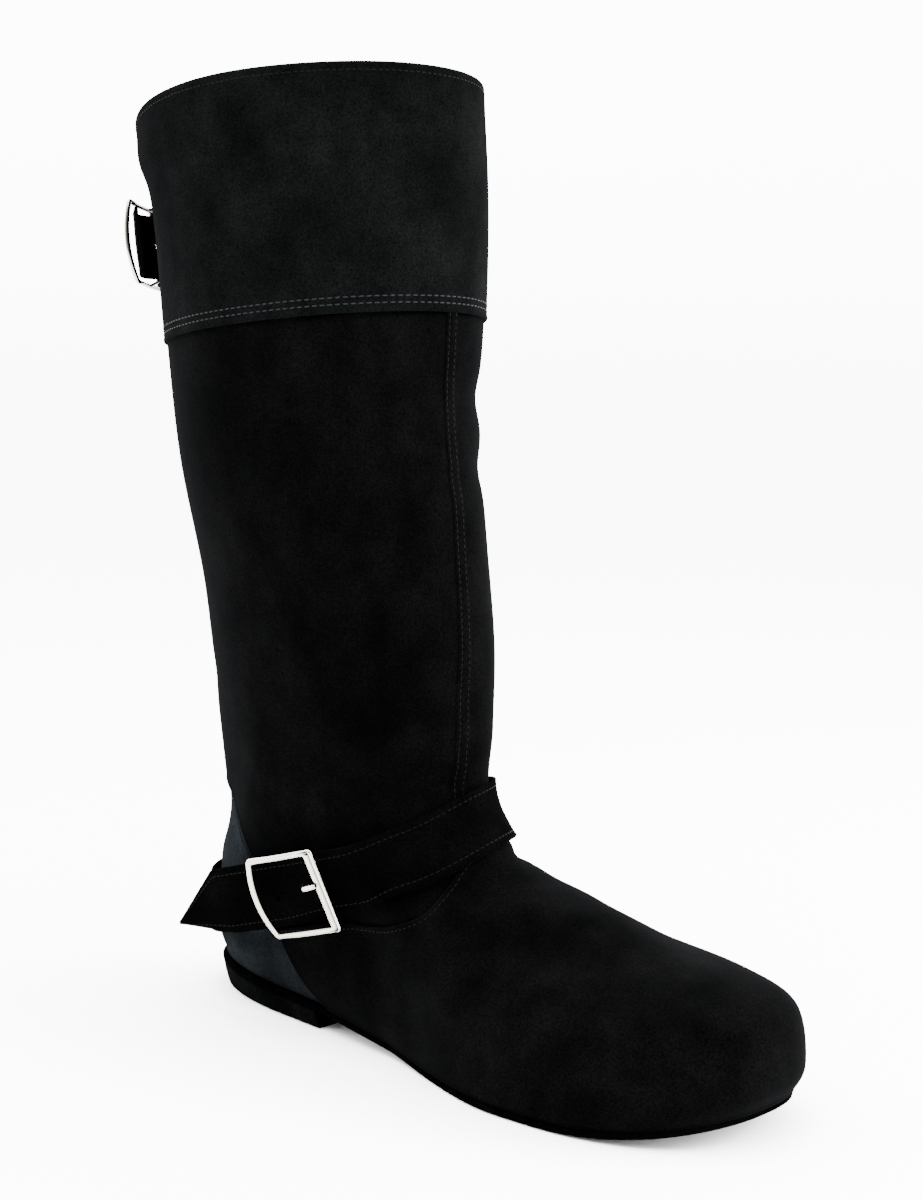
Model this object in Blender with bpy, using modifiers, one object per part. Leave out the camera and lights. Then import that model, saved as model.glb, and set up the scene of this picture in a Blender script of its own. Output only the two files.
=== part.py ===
"""A tall dance boot for the right foot: suede, on a thin sole with a low heel, strapped at ankle and cuff.

The boot's form is a stack of rings, from the edge of the sole up to the collar. The upper, its overlays, the
straps and the buckles all take their places from that one form. The tables are in millimetres, measured from
the back of the heel (x to the toe, y to the inner side, z up); the finished model is in metres, with its origin
under the middle of the boot, on the floor.
"""
import math
from collections import namedtuple

import bmesh
import bpy
import numpy as np
from mathutils import Matrix, Vector

MM = 0.001
GAP = 0.3

# Sole and heel
SOLE_THICKNESS = 3.0
HEEL_SEAT_HEIGHT = 13.0
BREAST_SEAT_HEIGHT = 10.5
BREAST_X = 73.0
BALL_START_X = 146.0
BALL_END_X = 200.0
TOE_X = 262.0
TOE_SPRING = 8.5
INSOLE_THICKNESS = 2.0
INSOLE_INSET = 3.0

# Edge of the sole as depth under its top and growth beyond the upper; edge of the heel block as share of its
# height and growth, tapering to the floor
SOLE_PROFILE = [(0.0, 1.2), (0.8, 1.8), (2.3, 1.8), (SOLE_THICKNESS, 1.0)]
HEEL_PROFILE = [(1.0, 1.5), (0.15, -0.6), (0.0, -1.4)]
HEEL_COLUMNS = 23

# Upper and its overlays
WALL = 1.8
OVERLAY_THICKNESS = 1.1
COUNTER_THICKNESS = 0.8
CUFF_LEVEL = 11.95
OVERLAY_FOOT_LEVEL = 0.12

# Straps, over the overlays
STRAP_THICKNESS = 1.8
STRAP_REST = 2.2

# Mesh fineness: columns round the boot, ring steps up the foot and up the shaft
COLUMNS = 44
COLUMN_ANGLE = 360.0 / COLUMNS
FOOT_STEP = 0.5
SHAFT_STEP = 0.75
FOOT_TOP = 8.0

# Rings of the form. back and front are the ring's two ends in the side view; follow says how far the ring
# follows the curve of the sole; out and in are half widths at heel, waist and ball, on the outer and inner
# side; the rounds are the shares of the length that the rounded ends take; toe_power squares the toe, and
# the swings move toe and heel to the inner side.
Ring = namedtuple("Ring", "back_x back_z front_x front_z follow heel_out waist_out ball_out"
                          " heel_in waist_in ball_in back_round front_round toe_power toe_swing heel_swing")
RINGS = {
    "feather": Ring(-10.5, GAP, 261.0, GAP, 1.0, 28.5, 30.0, 47.0, 28.5, 25.0, 43.5, .22, .25, 2.3, 5.0, 3.5),
    "side": Ring(-13.5, 11.0, 266.0, 10.0, 1.0, 32.0, 32.5, 46.5, 32.0, 28.5, 44.0, .21, .25, 2.3, 5.0, 3.5),
    "toe_edge": Ring(-13.0, 20.5, 261.5, 30.0, 1.0, 32.0, 32.5, 45.5, 32.5, 30.5, 44.0, .20, .26, 2.3, 5.0, 3.5),
    "toe_top": Ring(-12.0, 32.0, 244.0, 43.0, .7, 31.5, 31.0, 41.5, 32.5, 32.0, 40.5, .20, .34, 2.1, 7.0, 3.0),
    "vamp_low": Ring(-11.0, 40.0, 216.0, 50.5, .4, 30.5, 29.0, 37.0, 31.5, 32.5, 36.5, .21, .38, 2.0, 6.0, 2.5),
    "vamp_mid": Ring(-10.0, 48.0, 186.5, 60.0, .2, 30.0, 28.5, 33.5, 31.0, 32.5, 34.0, .24, .42, 2.0, 4.0, 2.0),
    "vamp_high": Ring(-8.5, 57.0, 154.5, 69.5, .1, 30.5, 31.0, 32.5, 30.5, 33.0, 32.5, .28, .46, 2.0, 2.0, 1.5),
    "instep": Ring(-5.5, 70.0, 129.5, 92.5, .0, 31.5, 37.5, 34.5, 31.0, 36.0, 33.5, .33, .48, 2.0, 1.0, 1.0),
    "ankle": Ring(-2.5, 92.0, 129.5, 123.5, .0, 34.0, 39.0, 37.0, 34.0, 38.0, 37.0, .41, .50, 2.0, .0, .0),
    "shaft_low": Ring(-5.0, 125.0, 127.5, 155.5, .0, 40.0, 41.5, 41.0, 38.5, 41.5, 42.0, .48, .50, 2.0, .0, .0),
    "shaft_calf": Ring(-10.0, 170.0, 120.5, 196.0, .0, 44.5, 46.0, 45.5, 43.5, 46.0, 46.0, .50, .50, 2.0, .0, .0),
    "shaft_high": Ring(-20.5, 220.0, 113.5, 239.5, .0, 51.0, 51.0, 50.5, 49.5, 51.0, 50.5, .50, .50, 2.0, .0, .0),
    "shaft_top": Ring(-27.0, 269.5, 114.0, 281.5, .0, 54.5, 55.0, 54.5, 53.0, 55.0, 54.5, .50, .50, 2.0, .0, .0),
    "cuff": Ring(-33.5, 318.0, 114.0, 324.5, .0, 56.0, 56.5, 56.0, 55.0, 56.5, 56.0, .50, .50, 2.0, .0, .0),
    "collar": Ring(-43.5, 363.0, 110.5, 369.0, .0, 59.0, 57.5, 58.0, 57.5, 58.0, 57.5, .50, .50, 2.0, .0, .0),
}
TABLE = np.array(list(RINGS.values()))
COLLAR_LEVEL = float(len(TABLE) - 1)
HEEL_SHARE = 0.17
WAIST_SHARE = 0.45
BALL_SHARE = 0.72

# Edges of the overlays in the side view, as x and z
COUNTER_EDGE = [(-60, 90), (8, 90), (26, 82), (36, 68), (56, 33), (65, 24), (80, 12), (105, 0), (105, -20),
                (-60, -20)]
VAMP_EDGE = [(57, 38), (80, 44), (104, 48), (124, 52.5), (134, 57.5), (138, 64), (138, 88), (300, 88), (300, -20),
             (106, -20), (106, 0), (81, 12), (66, 24)]
CUTTER_HALF_WIDTH = 90.0

# A strap's middle line rises to the front by its slope and its bend, which is what the square of x adds 100 mm
# from the heel, and sinks by its sway for each mm to the outer side
StrapLine = namedtuple("StrapLine", "level slope bend sway half_width")
ANKLE_LINE = StrapLine(46.8, .505, -12.4, .554, 12.8)
CUFF_LINE = StrapLine(308.0, .0, .0, .0, 12.3)
SWAY_ROUND = 15.0

# Where each strap starts under its buckle or at its seam, where it starts to rise and where it leaves the form,
# in columns round the boot, and how far off the form it is there; then the straight free end: its length and its
# pointed part, its splay out, turn up and lean out at the top in degrees; then how far along it the prong's hole
# and the buckle's centre bar lie, and how far the buckle sits up across the strap and stands out from it.
Strap = namedtuple("Strap", "line start rise leave raised tail tip splay turn lean"
                            " hole_at buckle_at buckle_up buckle_out")
ANKLE_STRAP = Strap(ANKLE_LINE, 10, -27, -31, 5.2, 93.4, 28.0, -6.7, -2.3, 13.7, 19.9, 21.9, -1.0, 2.0)
CUFF_STRAP = Strap(CUFF_LINE, 38, 43, 48, 4.2, 15.0, 4.0, 0.0, 3.0, 0.0, -6.0, -4.0, 0.0, 0.3)
TIP_REACH = 0.4
TIP_BLUNT = 0.05
TAIL_STEP = 11.0

# Buckles: centre bar type, of round wire
BUCKLE_LENGTH = 34.0
BUCKLE_WIDTH = 35.0
BUCKLE_CORNER = 3.0
BUCKLE_WIRE = 1.5
FRONT_BAR_SWELL = 1.35
REAR_BAR_BOW = 2.5
REAR_BAR_LIFT = 2.0
CENTRE_BAR_WIRE = 0.8
CENTRE_BAR_DROP = 3.0
PRONG_WIRE = 0.9
HOLE_RADIUS = 2.2

# The prong's way as x and height: up through the strap, from the hole's middle; then over the heavy front bar,
# from the frame's front edge and the bar's top
PRONG_UP = [(-0.6, -0.9), (0.2, 0.9), (2.2, 3.2)]
PRONG_OVER = [(-9.0, -0.6), (-3.0, 0.1), (0.8, 0.0)]
PRONG_TIP_SWELL = 0.7

# Colour, roughness and metallic value of each material
FINISHES = {
    "black_suede": ((.010, .010, .011), .95, 0.0),
    "blue_black_suede": ((.012, .013, .017), .95, 0.0),
    "sole_suede": ((.014, .013, .013), .98, 0.0),
    "insole_leather": ((.10, .085, .07), .75, 0.0),
    "polished_nickel": ((.72, .71, .69), .12, 1.0),
}


def smooth(share):
    """Ease from 0 to 1."""
    share = np.clip(share, 0, 1)
    return share * share * (3 - 2 * share)


def sole_top(x):
    """Height of the sole's upper face: sloping heel seat, arch, flat ball and toe spring."""
    seat = HEEL_SEAT_HEIGHT + (BREAST_SEAT_HEIGHT - HEEL_SEAT_HEIGHT) * np.clip(x / BREAST_X, 0, 1)
    arch = smooth((x - BREAST_X) / (BALL_START_X - BREAST_X))
    spring = np.clip((x - BALL_END_X) / (TOE_X - BALL_END_X), 0, 1.1) ** 2
    return seat + (SOLE_THICKNESS - BREAST_SEAT_HEIGHT) * arch + TOE_SPRING * spring


def ring_at(level):
    """Ring values at fractional levels, on a smooth curve through the table's rows."""
    i = np.clip(np.floor(level).astype(int), 0, len(TABLE) - 2)
    t = (level - i)[..., None]
    rows = np.vstack([2 * TABLE[0] - TABLE[1], TABLE, 2 * TABLE[-1] - TABLE[-2]])
    a, b, c, d = rows[i], rows[i + 1], rows[i + 2], rows[i + 3]
    curve = 2 * b + (c - a) * t + (2 * a - 5 * b + 4 * c - d) * t ** 2
    curve += (3 * b - a - 3 * c + d) * t ** 3
    return Ring(*np.moveaxis(curve / 2, -1, 0))


def bare_skin(level, angle):
    """Points of the boot's outer form. The angle is 0 at the back, 90 on the outer side and 180 at the front."""
    level, angle = np.broadcast_arrays(np.asarray(level, float), np.asarray(angle, float))
    ring = ring_at(level)
    turn = np.radians(angle)
    share = (1 - np.cos(turn)) / 2
    outer = np.sin(turn) >= 0
    x = ring.back_x + (ring.front_x - ring.back_x) * share
    z = ring.back_z + (ring.front_z - ring.back_z) * share + ring.follow * sole_top(x)
    heel = np.where(outer, ring.heel_out, ring.heel_in)
    waist = np.where(outer, ring.waist_out, ring.waist_in)
    ball = np.where(outer, ring.ball_out, ring.ball_in)
    width = heel + (waist - heel) * smooth((share - HEEL_SHARE) / (WAIST_SHARE - HEEL_SHARE))
    width += (ball - waist) * smooth((share - WAIST_SHARE) / (BALL_SHARE - WAIST_SHARE))
    back_end = np.sqrt(1 - np.clip(1 - share / ring.back_round, 0, 1) ** 2)
    ahead = np.clip(1 - (1 - share) / ring.front_round, 0, 1)
    front_end = (1 - ahead ** ring.toe_power) ** (1 / ring.toe_power)
    swing = ring.toe_swing * smooth(2 * share - 1) + ring.heel_swing * smooth(1 - 2 * share)
    y = swing + np.where(outer, -1, 1) * width * back_end * front_end
    return np.stack([x, y, z], -1)


def skin(level, angle, out=0.0):
    """Points of the form, moved out along its normal."""
    step = 0.01
    along = bare_skin(level, angle + step) - bare_skin(level, angle - step)
    up = bare_skin(level + step, angle) - bare_skin(level - step, angle)
    normal = np.cross(along, up)
    normal /= np.linalg.norm(normal, axis=-1, keepdims=True)
    return bare_skin(level, angle) + out * normal


def sole_outline(grow, angles):
    """The edge of the sole in plan, grown outwards."""
    step = 0.5
    here = bare_skin(0.0, angles)
    along = bare_skin(0.0, angles + step) - bare_skin(0.0, angles - step)
    outward = np.stack([along[..., 1], -along[..., 0]], -1)
    outward /= np.linalg.norm(outward, axis=-1, keepdims=True)
    return here[..., :2] + grow * outward


def unit(vector):
    """The vector at length one."""
    return vector / np.linalg.norm(vector)


def make_material(name):
    """A plain shader in the finish's colour."""
    colour, roughness, metallic = FINISHES[name]
    material = bpy.data.materials.get(name) or bpy.data.materials.new(name)
    material.use_nodes = True
    shader = material.node_tree.nodes["Principled BSDF"]
    shader.inputs["Base Color"].default_value = (*colour, 1)
    shader.inputs["Roughness"].default_value = roughness
    shader.inputs["Metallic"].default_value = metallic
    return material


def make_object(name, points, faces, collection):
    """A mesh object from points in millimetres, with its faces turned outwards."""
    mesh = bpy.data.meshes.new(name)
    mesh.from_pydata((np.asarray(points, float).reshape(-1, 3) * MM).tolist(), [], faces)
    build = bmesh.new()
    build.from_mesh(mesh)
    bmesh.ops.recalc_face_normals(build, faces=build.faces)
    build.to_mesh(mesh)
    build.free()
    piece = bpy.data.objects.new(name, mesh)
    collection.objects.link(piece)
    return piece


def finish(piece, material, smooth_angle=40):
    """Give a piece its material and smooth shading between its sharp edges."""
    piece.data.materials.clear()
    piece.data.materials.append(make_material(material))
    piece.data.shade_smooth()
    piece.data.set_sharp_from_angle(angle=math.radians(smooth_angle))
    return piece


def grid_faces(rows, columns, closed):
    """Quads of a grid of points, closed round its columns or open."""
    last = columns if closed else columns - 1
    faces = []
    for r in range(rows - 1):
        for c in range(last):
            d = (c + 1) % columns
            faces.append((r * columns + c, r * columns + d, (r + 1) * columns + d, (r + 1) * columns + c))
    return faces


def add_wall(piece, thickness, outward):
    """Turn an open surface into a wall, inwards or outwards from it."""
    wall = piece.modifiers.new("wall", "SOLIDIFY")
    wall.thickness = thickness * MM
    wall.offset = 1 if outward else -1
    return wall


def form_shell(name, levels, out, thickness, outward, collection):
    """A wall over whole rings of the form, in triangles split alike, so that stacked walls keep clear."""
    angles = np.arange(COLUMNS) * COLUMN_ANGLE
    points = skin(np.asarray(levels)[:, None], angles[None, :], out)
    mesh = bpy.data.meshes.new(name)
    halves = [half for a, b, c, d in grid_faces(len(levels), COLUMNS, True) for half in ((a, b, c), (a, c, d))]
    mesh.from_pydata((points.reshape(-1, 3) * MM).tolist(), [], halves)
    piece = bpy.data.objects.new(name, mesh)
    collection.objects.link(piece)
    add_wall(piece, thickness, outward)
    return piece


def foot_levels():
    """Levels of the mesh rings over the foot: the upper's edge, the overlays' edge, then even steps."""
    return np.append([0, OVERLAY_FOOT_LEVEL], np.arange(FOOT_STEP, FOOT_TOP + FOOT_STEP / 2, FOOT_STEP))


def side_cutter(name, outline, collection):
    """A prism across the boot with a side-view outline."""
    count = len(outline)
    points = [(x, y, z) for y in (-CUTTER_HALF_WIDTH, CUTTER_HALF_WIDTH) for x, z in outline]
    faces = [tuple(range(count)), tuple(range(count, 2 * count))]
    faces += [(i, (i + 1) % count, count + (i + 1) % count, count + i) for i in range(count)]
    cutter = make_object(name, points, faces, collection)
    hide_tool(cutter)
    return cutter


def hide_tool(tool):
    """Mark an object as a cutter or operand, not a piece of the boot."""
    tool.hide_render = True
    tool.display_type = "WIRE"


def cut(piece, tool, operation):
    """Combine a piece with a cutter or operand."""
    step = piece.modifiers.new(tool.name, "BOOLEAN")
    step.object = tool
    step.operation = operation
    step.solver = "EXACT"


def slab(name, loops, collection, closed_outline=True):
    """A solid between two or more loops whose points pair up across the boot: point i with point -i."""
    count = len(loops[0])
    points = np.concatenate(loops)
    faces = grid_faces(len(loops), count, True)
    for base in (0, (len(loops) - 1) * count):
        if closed_outline:
            faces.append((base, base + 1, base + count - 1))
            faces += [(base + i, base + i + 1, base + count - i - 1, base + count - i)
                      for i in range(1, count // 2 - 1)]
            faces.append((base + count // 2 - 1, base + count // 2, base + count // 2 + 1))
        else:
            middle = count // 2
            faces.append((base + middle, base + middle + 1, base + middle - 1))
            faces += [(base + middle - i, base + middle + i, base + middle + i + 1, base + middle - i - 1)
                      for i in range(1, middle)]
    return make_object(name, points, faces, collection)


def make_outsole(collection):
    """Thin sole with a rounded edge, flat under the ball, arched and sprung at the toe."""
    angles = np.arange(COLUMNS) * COLUMN_ANGLE
    loops = []
    for depth, grow in SOLE_PROFILE:
        outline = sole_outline(grow, angles)
        height = np.maximum(sole_top(outline[:, 0]) - depth, 0)
        loops.append(np.column_stack([outline, height]))
    return finish(slab("outsole", loops, collection), "sole_suede")


def make_heel(collection):
    """Low heel block under the back of the sole."""
    share = (BREAST_X - RINGS["feather"].back_x) / (RINGS["feather"].front_x - RINGS["feather"].back_x)
    breast_angle = math.degrees(math.acos(1 - 2 * share))
    angles = np.linspace(-breast_angle, breast_angle, HEEL_COLUMNS)
    loops = []
    for part, grow in HEEL_PROFILE:
        outline = sole_outline(grow, angles)
        under_sole = sole_top(outline[:, 0]) - SOLE_THICKNESS - GAP
        loops.append(np.column_stack([outline, part * under_sole]))
    return finish(slab("heel", loops, collection, closed_outline=False), "sole_suede")


def make_insole(collection):
    """Insole inside the upper, on the sole."""
    angles = np.arange(COLUMNS) * COLUMN_ANGLE
    outline = sole_outline(-INSOLE_INSET, angles)
    floor = sole_top(outline[:, 0]) + GAP
    loops = [np.column_stack([outline, floor + INSOLE_THICKNESS]), np.column_stack([outline, floor])]
    return finish(slab("insole", loops, collection), "insole_leather")


def make_upper(collection):
    """Foot and shaft in one hollow wall, open at the collar and underneath."""
    shaft = np.arange(FOOT_TOP + SHAFT_STEP, COLLAR_LEVEL + SHAFT_STEP / 2, SHAFT_STEP)
    levels = np.concatenate([foot_levels(), shaft])
    return finish(form_shell("upper", levels, 0.0, WALL, False, collection), "black_suede")


def make_side_overlay(name, outline, thickness, material, collection, cutters):
    """A panel over the foot, cut from a thin shell of the form by its side-view outline."""
    piece = form_shell(name, foot_levels()[1:], GAP, thickness, True, collection)
    cut(piece, side_cutter(name + "_outline", outline, cutters), "INTERSECT")
    return finish(piece, material)


def make_cuff(collection):
    """Folded cuff round the top of the shaft."""
    shaft = np.arange(FOOT_TOP + SHAFT_STEP, COLLAR_LEVEL + SHAFT_STEP / 2, SHAFT_STEP)
    levels = np.concatenate([[CUFF_LEVEL], shaft[shaft > CUFF_LEVEL]])
    return finish(form_shell("cuff", levels, GAP, OVERLAY_THICKNESS, True, collection), "blue_black_suede")


def strap_centre(line, column):
    """Level and angle at which a strap's middle line crosses a column."""
    angle = column * COLUMN_ANGLE
    low, high = 0.0, COLLAR_LEVEL
    for _ in range(30):
        middle = (low + high) / 2
        x, y, z = bare_skin(middle, angle)
        sink = line.sway * (y - math.hypot(y, SWAY_ROUND)) / 2
        if z < line.level + line.slope * x + line.bend * (x / 100) ** 2 + sink:
            low = middle
        else:
            high = middle
    return np.array([low, angle])


def nearest(point, start):
    """Level and angle of the form's point nearest to a point in space, from a start close to it."""
    place = np.array(start, float)
    for _ in range(8):
        here = bare_skin(*place)
        up = (bare_skin(place[0] + .01, place[1]) - here) / .01
        along = (bare_skin(place[0], place[1] + .1) - here) / .1
        place += np.linalg.lstsq(np.column_stack([up, along]), point - here, rcond=None)[0]
    return place


def strap_section(strap, column, rise):
    """Points across the strap's inner face, from its lower to its upper edge, and the way out of the form."""
    here = strap_centre(strap.line, column)
    ahead, behind = (bare_skin(*strap_centre(strap.line, column + step)) for step in (.2, -.2))
    middle = bare_skin(*here)
    out = skin(*here, 1.0) - middle
    across = unit(np.cross(ahead - behind, out))
    across *= math.copysign(1, across[2])
    height = STRAP_REST + rise * (strap.raised - STRAP_REST)
    points = []
    for side in (-1, 0, 1):
        reach = strap.line.half_width
        for _ in range(4):
            edge = nearest(middle + side * reach * across, here)
            reach *= strap.line.half_width / max(np.linalg.norm(bare_skin(*edge) - middle), 1) if side else 1
        points.append(skin(*edge, height))
    return np.array(points), out


def strap_sections(strap):
    """All the strap's sections: round the form, then straight on to a pointed free end."""
    direction = -1 if strap.leave < strap.start else 1
    inner, outward = [], []
    for column in range(strap.start, strap.leave + direction, direction):
        rise = smooth((column - strap.rise) / (strap.leave - strap.rise))
        points, out = strap_section(strap, column, float(rise))
        inner.append(points)
        outward.append(out)
    frame = tail_frame(strap, inner[-1], inner[-2], outward[-1])
    reach = [side * strap.line.half_width for side in (-1, 0, 1)]
    shoulder = strap.tail - strap.tip
    distances = np.append(np.arange(TAIL_STEP, shoulder - 1, TAIL_STEP), shoulder)
    for distance in distances:
        inner.append(np.array([frame.origin + distance * frame.along + w * frame.across for w in reach]))
    tip = reach[0] * (1 - TIP_REACH)
    ends = [tip + (w - tip) * TIP_BLUNT for w in reach]
    inner.append(np.array([frame.origin + strap.tail * frame.along + w * frame.across for w in ends]))
    outward += [frame.out] * (len(inner) - len(outward))
    return inner, outward, frame


Frame = namedtuple("Frame", "origin along across out")


def tail_frame(strap, last, before, outward):
    """Axes of the straight free end: along it to the tip, across it and out of the boot."""
    across = unit(last[2] - last[0])
    along = last[1] - before[1]
    along = unit(along - across * (along @ across))
    out = np.cross(along, across)
    out *= math.copysign(1, out @ outward)
    along, across = turned(along, across, strap.turn)
    along, out = turned(along, out, strap.splay)
    across, out = turned(across, out, strap.lean)
    return Frame(last[1], along, across, out)


def turned(first, second, degrees):
    """Two axes turned in their own plane, the first towards the second."""
    c, s = math.cos(math.radians(degrees)), math.sin(math.radians(degrees))
    return first * c + second * s, second * c - first * s


def make_strap(name, strap, material, collection, cutters):
    """A leather strap with a hole for the buckle's prong."""
    inner, outward, frame = strap_sections(strap)
    points = []
    for face, out in zip(inner, outward):
        points += list(face) + list(face[::-1] + STRAP_THICKNESS * out)
    faces = grid_faces(len(inner), 6, True)
    last = 6 * (len(inner) - 1)
    for base in (0, last):
        faces += [(base, base + 1, base + 4, base + 5), (base + 1, base + 2, base + 3, base + 4)]
    piece = make_object(name, points, faces, collection)
    hole = make_object(name + "_hole", *cylinder(HOLE_RADIUS, 2 * strap.raised), cutters)
    hole.matrix_world = frame_matrix(frame, strap.hole_at)
    hide_tool(hole)
    cut(piece, hole, "DIFFERENCE")
    return finish(piece, material)


def cylinder(radius, length):
    """Points and faces of a small upright cylinder about the origin."""
    build = bmesh.new()
    bmesh.ops.create_cone(build, cap_ends=True, segments=12, radius1=radius, radius2=radius, depth=length)
    build.verts.ensure_lookup_table()
    points = [tuple(vert.co) for vert in build.verts]
    faces = [tuple(vert.index for vert in face.verts) for face in build.faces]
    build.free()
    return points, faces


def frame_matrix(frame, distance, up=0.0):
    """Placement on the free end's inner face: x back along it to the buckle's front bar, y across, z out."""
    spot = frame.origin + distance * frame.along + up * frame.across
    x_axis, z_axis = -frame.along, frame.out
    y_axis = np.cross(z_axis, x_axis)
    matrix = Matrix.Identity(4)
    for column, axis in enumerate((x_axis, y_axis, z_axis)):
        for row in range(3):
            matrix[row][column] = axis[row]
    matrix.translation = Vector(spot * MM)
    return matrix


def tube(name, points, wire, closed, swell, collection):
    """Round wire along points, made a mesh with its ends closed."""
    curve = bpy.data.curves.new(name, "CURVE")
    curve.dimensions = "3D"
    curve.bevel_depth = wire * MM
    curve.bevel_resolution = 2
    curve.use_fill_caps = True
    spline = curve.splines.new("POLY")
    spline.points.add(len(points) - 1)
    for spot, place, size in zip(spline.points, points, swell):
        spot.co = (*(MM * value for value in place), 1)
        spot.radius = size
    spline.use_cyclic_u = closed
    guide = bpy.data.objects.new(name + "_guide", curve)
    collection.objects.link(guide)
    mesh = bpy.data.meshes.new_from_object(guide.evaluated_get(bpy.context.evaluated_depsgraph_get()))
    bpy.data.objects.remove(guide)
    build = bmesh.new()
    build.from_mesh(mesh)
    bmesh.ops.remove_doubles(build, verts=build.verts, dist=0.00001)
    bmesh.ops.recalc_face_normals(build, faces=build.faces)
    build.to_mesh(mesh)
    build.free()
    piece = bpy.data.objects.new(name, mesh)
    collection.objects.link(piece)
    return piece


def buckle_path(stand):
    """Centre line of the frame: heavy straight front bar, bowed rear bar, rounded corners; and its swell."""
    half_length = BUCKLE_LENGTH / 2 - BUCKLE_WIRE
    half_width = BUCKLE_WIDTH / 2 - BUCKLE_WIRE
    level = STRAP_THICKNESS + GAP + stand + BUCKLE_WIRE * FRONT_BAR_SWELL
    points, swell = [], []
    corners = ((1, 1, 0), (-1, 1, 90), (-1, -1, 180), (1, -1, 270))
    for x_side, y_side, start in corners:
        for turn in (0, 45, 90):
            angle = math.radians(start + turn)
            x = x_side * (half_length - BUCKLE_CORNER) + BUCKLE_CORNER * math.cos(angle)
            y = y_side * (half_width - BUCKLE_CORNER) + BUCKLE_CORNER * math.sin(angle)
            points.append((x, y, level))
            swell.append(FRONT_BAR_SWELL if x_side > 0 and abs(y) < half_width - 1 else 1.0)
        if (x_side, y_side) == (-1, 1):
            for share in (-.6, -.3, 0, .3, .6):
                bow = 1 - share * share
                spot = (-half_length - REAR_BAR_BOW * bow, -share * half_width, level + REAR_BAR_LIFT * bow)
                points.append(spot)
                swell.append(1.0)
    return points, swell, level, half_width


def make_buckle(name, strap, collection, cutters):
    """Buckle frame with the dropped centre bar that the strap passes over."""
    frame = strap_sections(strap)[2]
    points, swell, level, half_width = buckle_path(strap.buckle_out)
    piece = tube(name, points, BUCKLE_WIRE, True, swell, collection)
    low = -CENTRE_BAR_DROP + STRAP_THICKNESS
    bar = [(0, half_width, level), (0, half_width, low), (0, -half_width, low), (0, -half_width, level)]
    bar_piece = tube(name + "_bar", bar, CENTRE_BAR_WIRE, False, [1] * len(bar), cutters)
    hide_tool(bar_piece)
    cut(piece, bar_piece, "UNION")
    placement = frame_matrix(frame, strap.buckle_at, strap.buckle_up)
    piece.matrix_world = placement
    bar_piece.matrix_world = placement
    return finish(piece, "polished_nickel")


def make_prong(name, strap, collection):
    """Prong up through the strap's hole, its tip on the front bar."""
    frame = strap_sections(strap)[2]
    top = STRAP_THICKNESS + 2 * GAP + strap.buckle_out + 2 * BUCKLE_WIRE * FRONT_BAR_SWELL + PRONG_WIRE
    rise = strap.buckle_at - strap.hole_at
    path = [(rise + x, 0, z) for x, z in PRONG_UP]
    path += [(BUCKLE_LENGTH / 2 + x, 0, top + z) for x, z in PRONG_OVER]
    swell = [1] * (len(path) - 1) + [PRONG_TIP_SWELL]
    piece = tube(name, path, PRONG_WIRE, False, swell, collection)
    piece.matrix_world = frame_matrix(frame, strap.buckle_at)
    return finish(piece, "polished_nickel")


def lowest_and_highest(pieces):
    """Corners of the box round all the pieces as they are finished."""
    graph = bpy.context.evaluated_depsgraph_get()
    corners = []
    for piece in pieces:
        done = piece.evaluated_get(graph)
        mesh = done.to_mesh()
        places = np.empty(3 * len(mesh.vertices))
        mesh.vertices.foreach_get("co", places)
        turned = places.reshape(-1, 3) @ np.array(piece.matrix_world.to_3x3()).T
        turned += np.array(piece.matrix_world.translation)
        corners += [turned.min(0), turned.max(0)]
        done.to_mesh_clear()
    return np.min(corners, 0), np.max(corners, 0)


def main():
    """Build every piece, then set the boot on the floor over its origin."""
    for old in list(bpy.data.objects):
        bpy.data.objects.remove(old)
    boot = bpy.data.collections.new("dance_boot")
    cutters = bpy.data.collections.new("cutters")
    for collection in (boot, cutters):
        bpy.context.scene.collection.children.link(collection)
    make_outsole(boot)
    make_heel(boot)
    make_insole(boot)
    make_upper(boot)
    make_side_overlay("vamp", VAMP_EDGE, OVERLAY_THICKNESS, "black_suede", boot, cutters)
    make_side_overlay("counter", COUNTER_EDGE, COUNTER_THICKNESS, "blue_black_suede", boot, cutters)
    make_cuff(boot)
    for place, strap in (("ankle", ANKLE_STRAP), ("cuff", CUFF_STRAP)):
        make_strap(place + "_strap", strap, "black_suede", boot, cutters)
        make_buckle(place + "_buckle", strap, boot, cutters)
        make_prong(place + "_prong", strap, boot)
    bpy.context.view_layer.update()
    low, high = lowest_and_highest(boot.objects)
    base = bpy.data.objects.new("boot_base", None)
    bpy.context.scene.collection.objects.link(base)
    for piece in list(boot.objects) + list(cutters.objects):
        piece.parent = base
    base.location = (-(low[0] + high[0]) / 2, -(low[1] + high[1]) / 2, -low[2])
    bpy.context.view_layer.update()


main()
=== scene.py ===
"""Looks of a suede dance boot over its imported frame: panels, stitches, straps, buckles and a pale studio.

The boot's form is a stack of rings from the sole's edge to the collar, in millimetres from the back of the
heel (x to the toe, y to the inner side, z up). A place on it is a level up the rings and an angle round them,
0 at the back, 90 on the outer side and 180 at the front. Panels, seams, straps and creases are placed on it.
"""
import math
from collections import namedtuple

import bpy
import numpy as np
from mathutils import Matrix, Vector


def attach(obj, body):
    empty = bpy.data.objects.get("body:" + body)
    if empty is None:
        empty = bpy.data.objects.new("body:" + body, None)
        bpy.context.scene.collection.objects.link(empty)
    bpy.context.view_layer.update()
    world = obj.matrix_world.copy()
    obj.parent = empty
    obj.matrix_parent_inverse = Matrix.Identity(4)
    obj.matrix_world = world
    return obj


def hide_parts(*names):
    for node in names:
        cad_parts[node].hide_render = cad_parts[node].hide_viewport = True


bl_info = {
    "name": "Dance Boot",
    "version": (1, 0, 0),
    "blender": (4, 5, 0),
    "location": "View3D > Sidebar > Boot",
    "description": "Builds the looks of a suede dance boot and its studio stage",
    "category": "Object",
}

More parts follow.
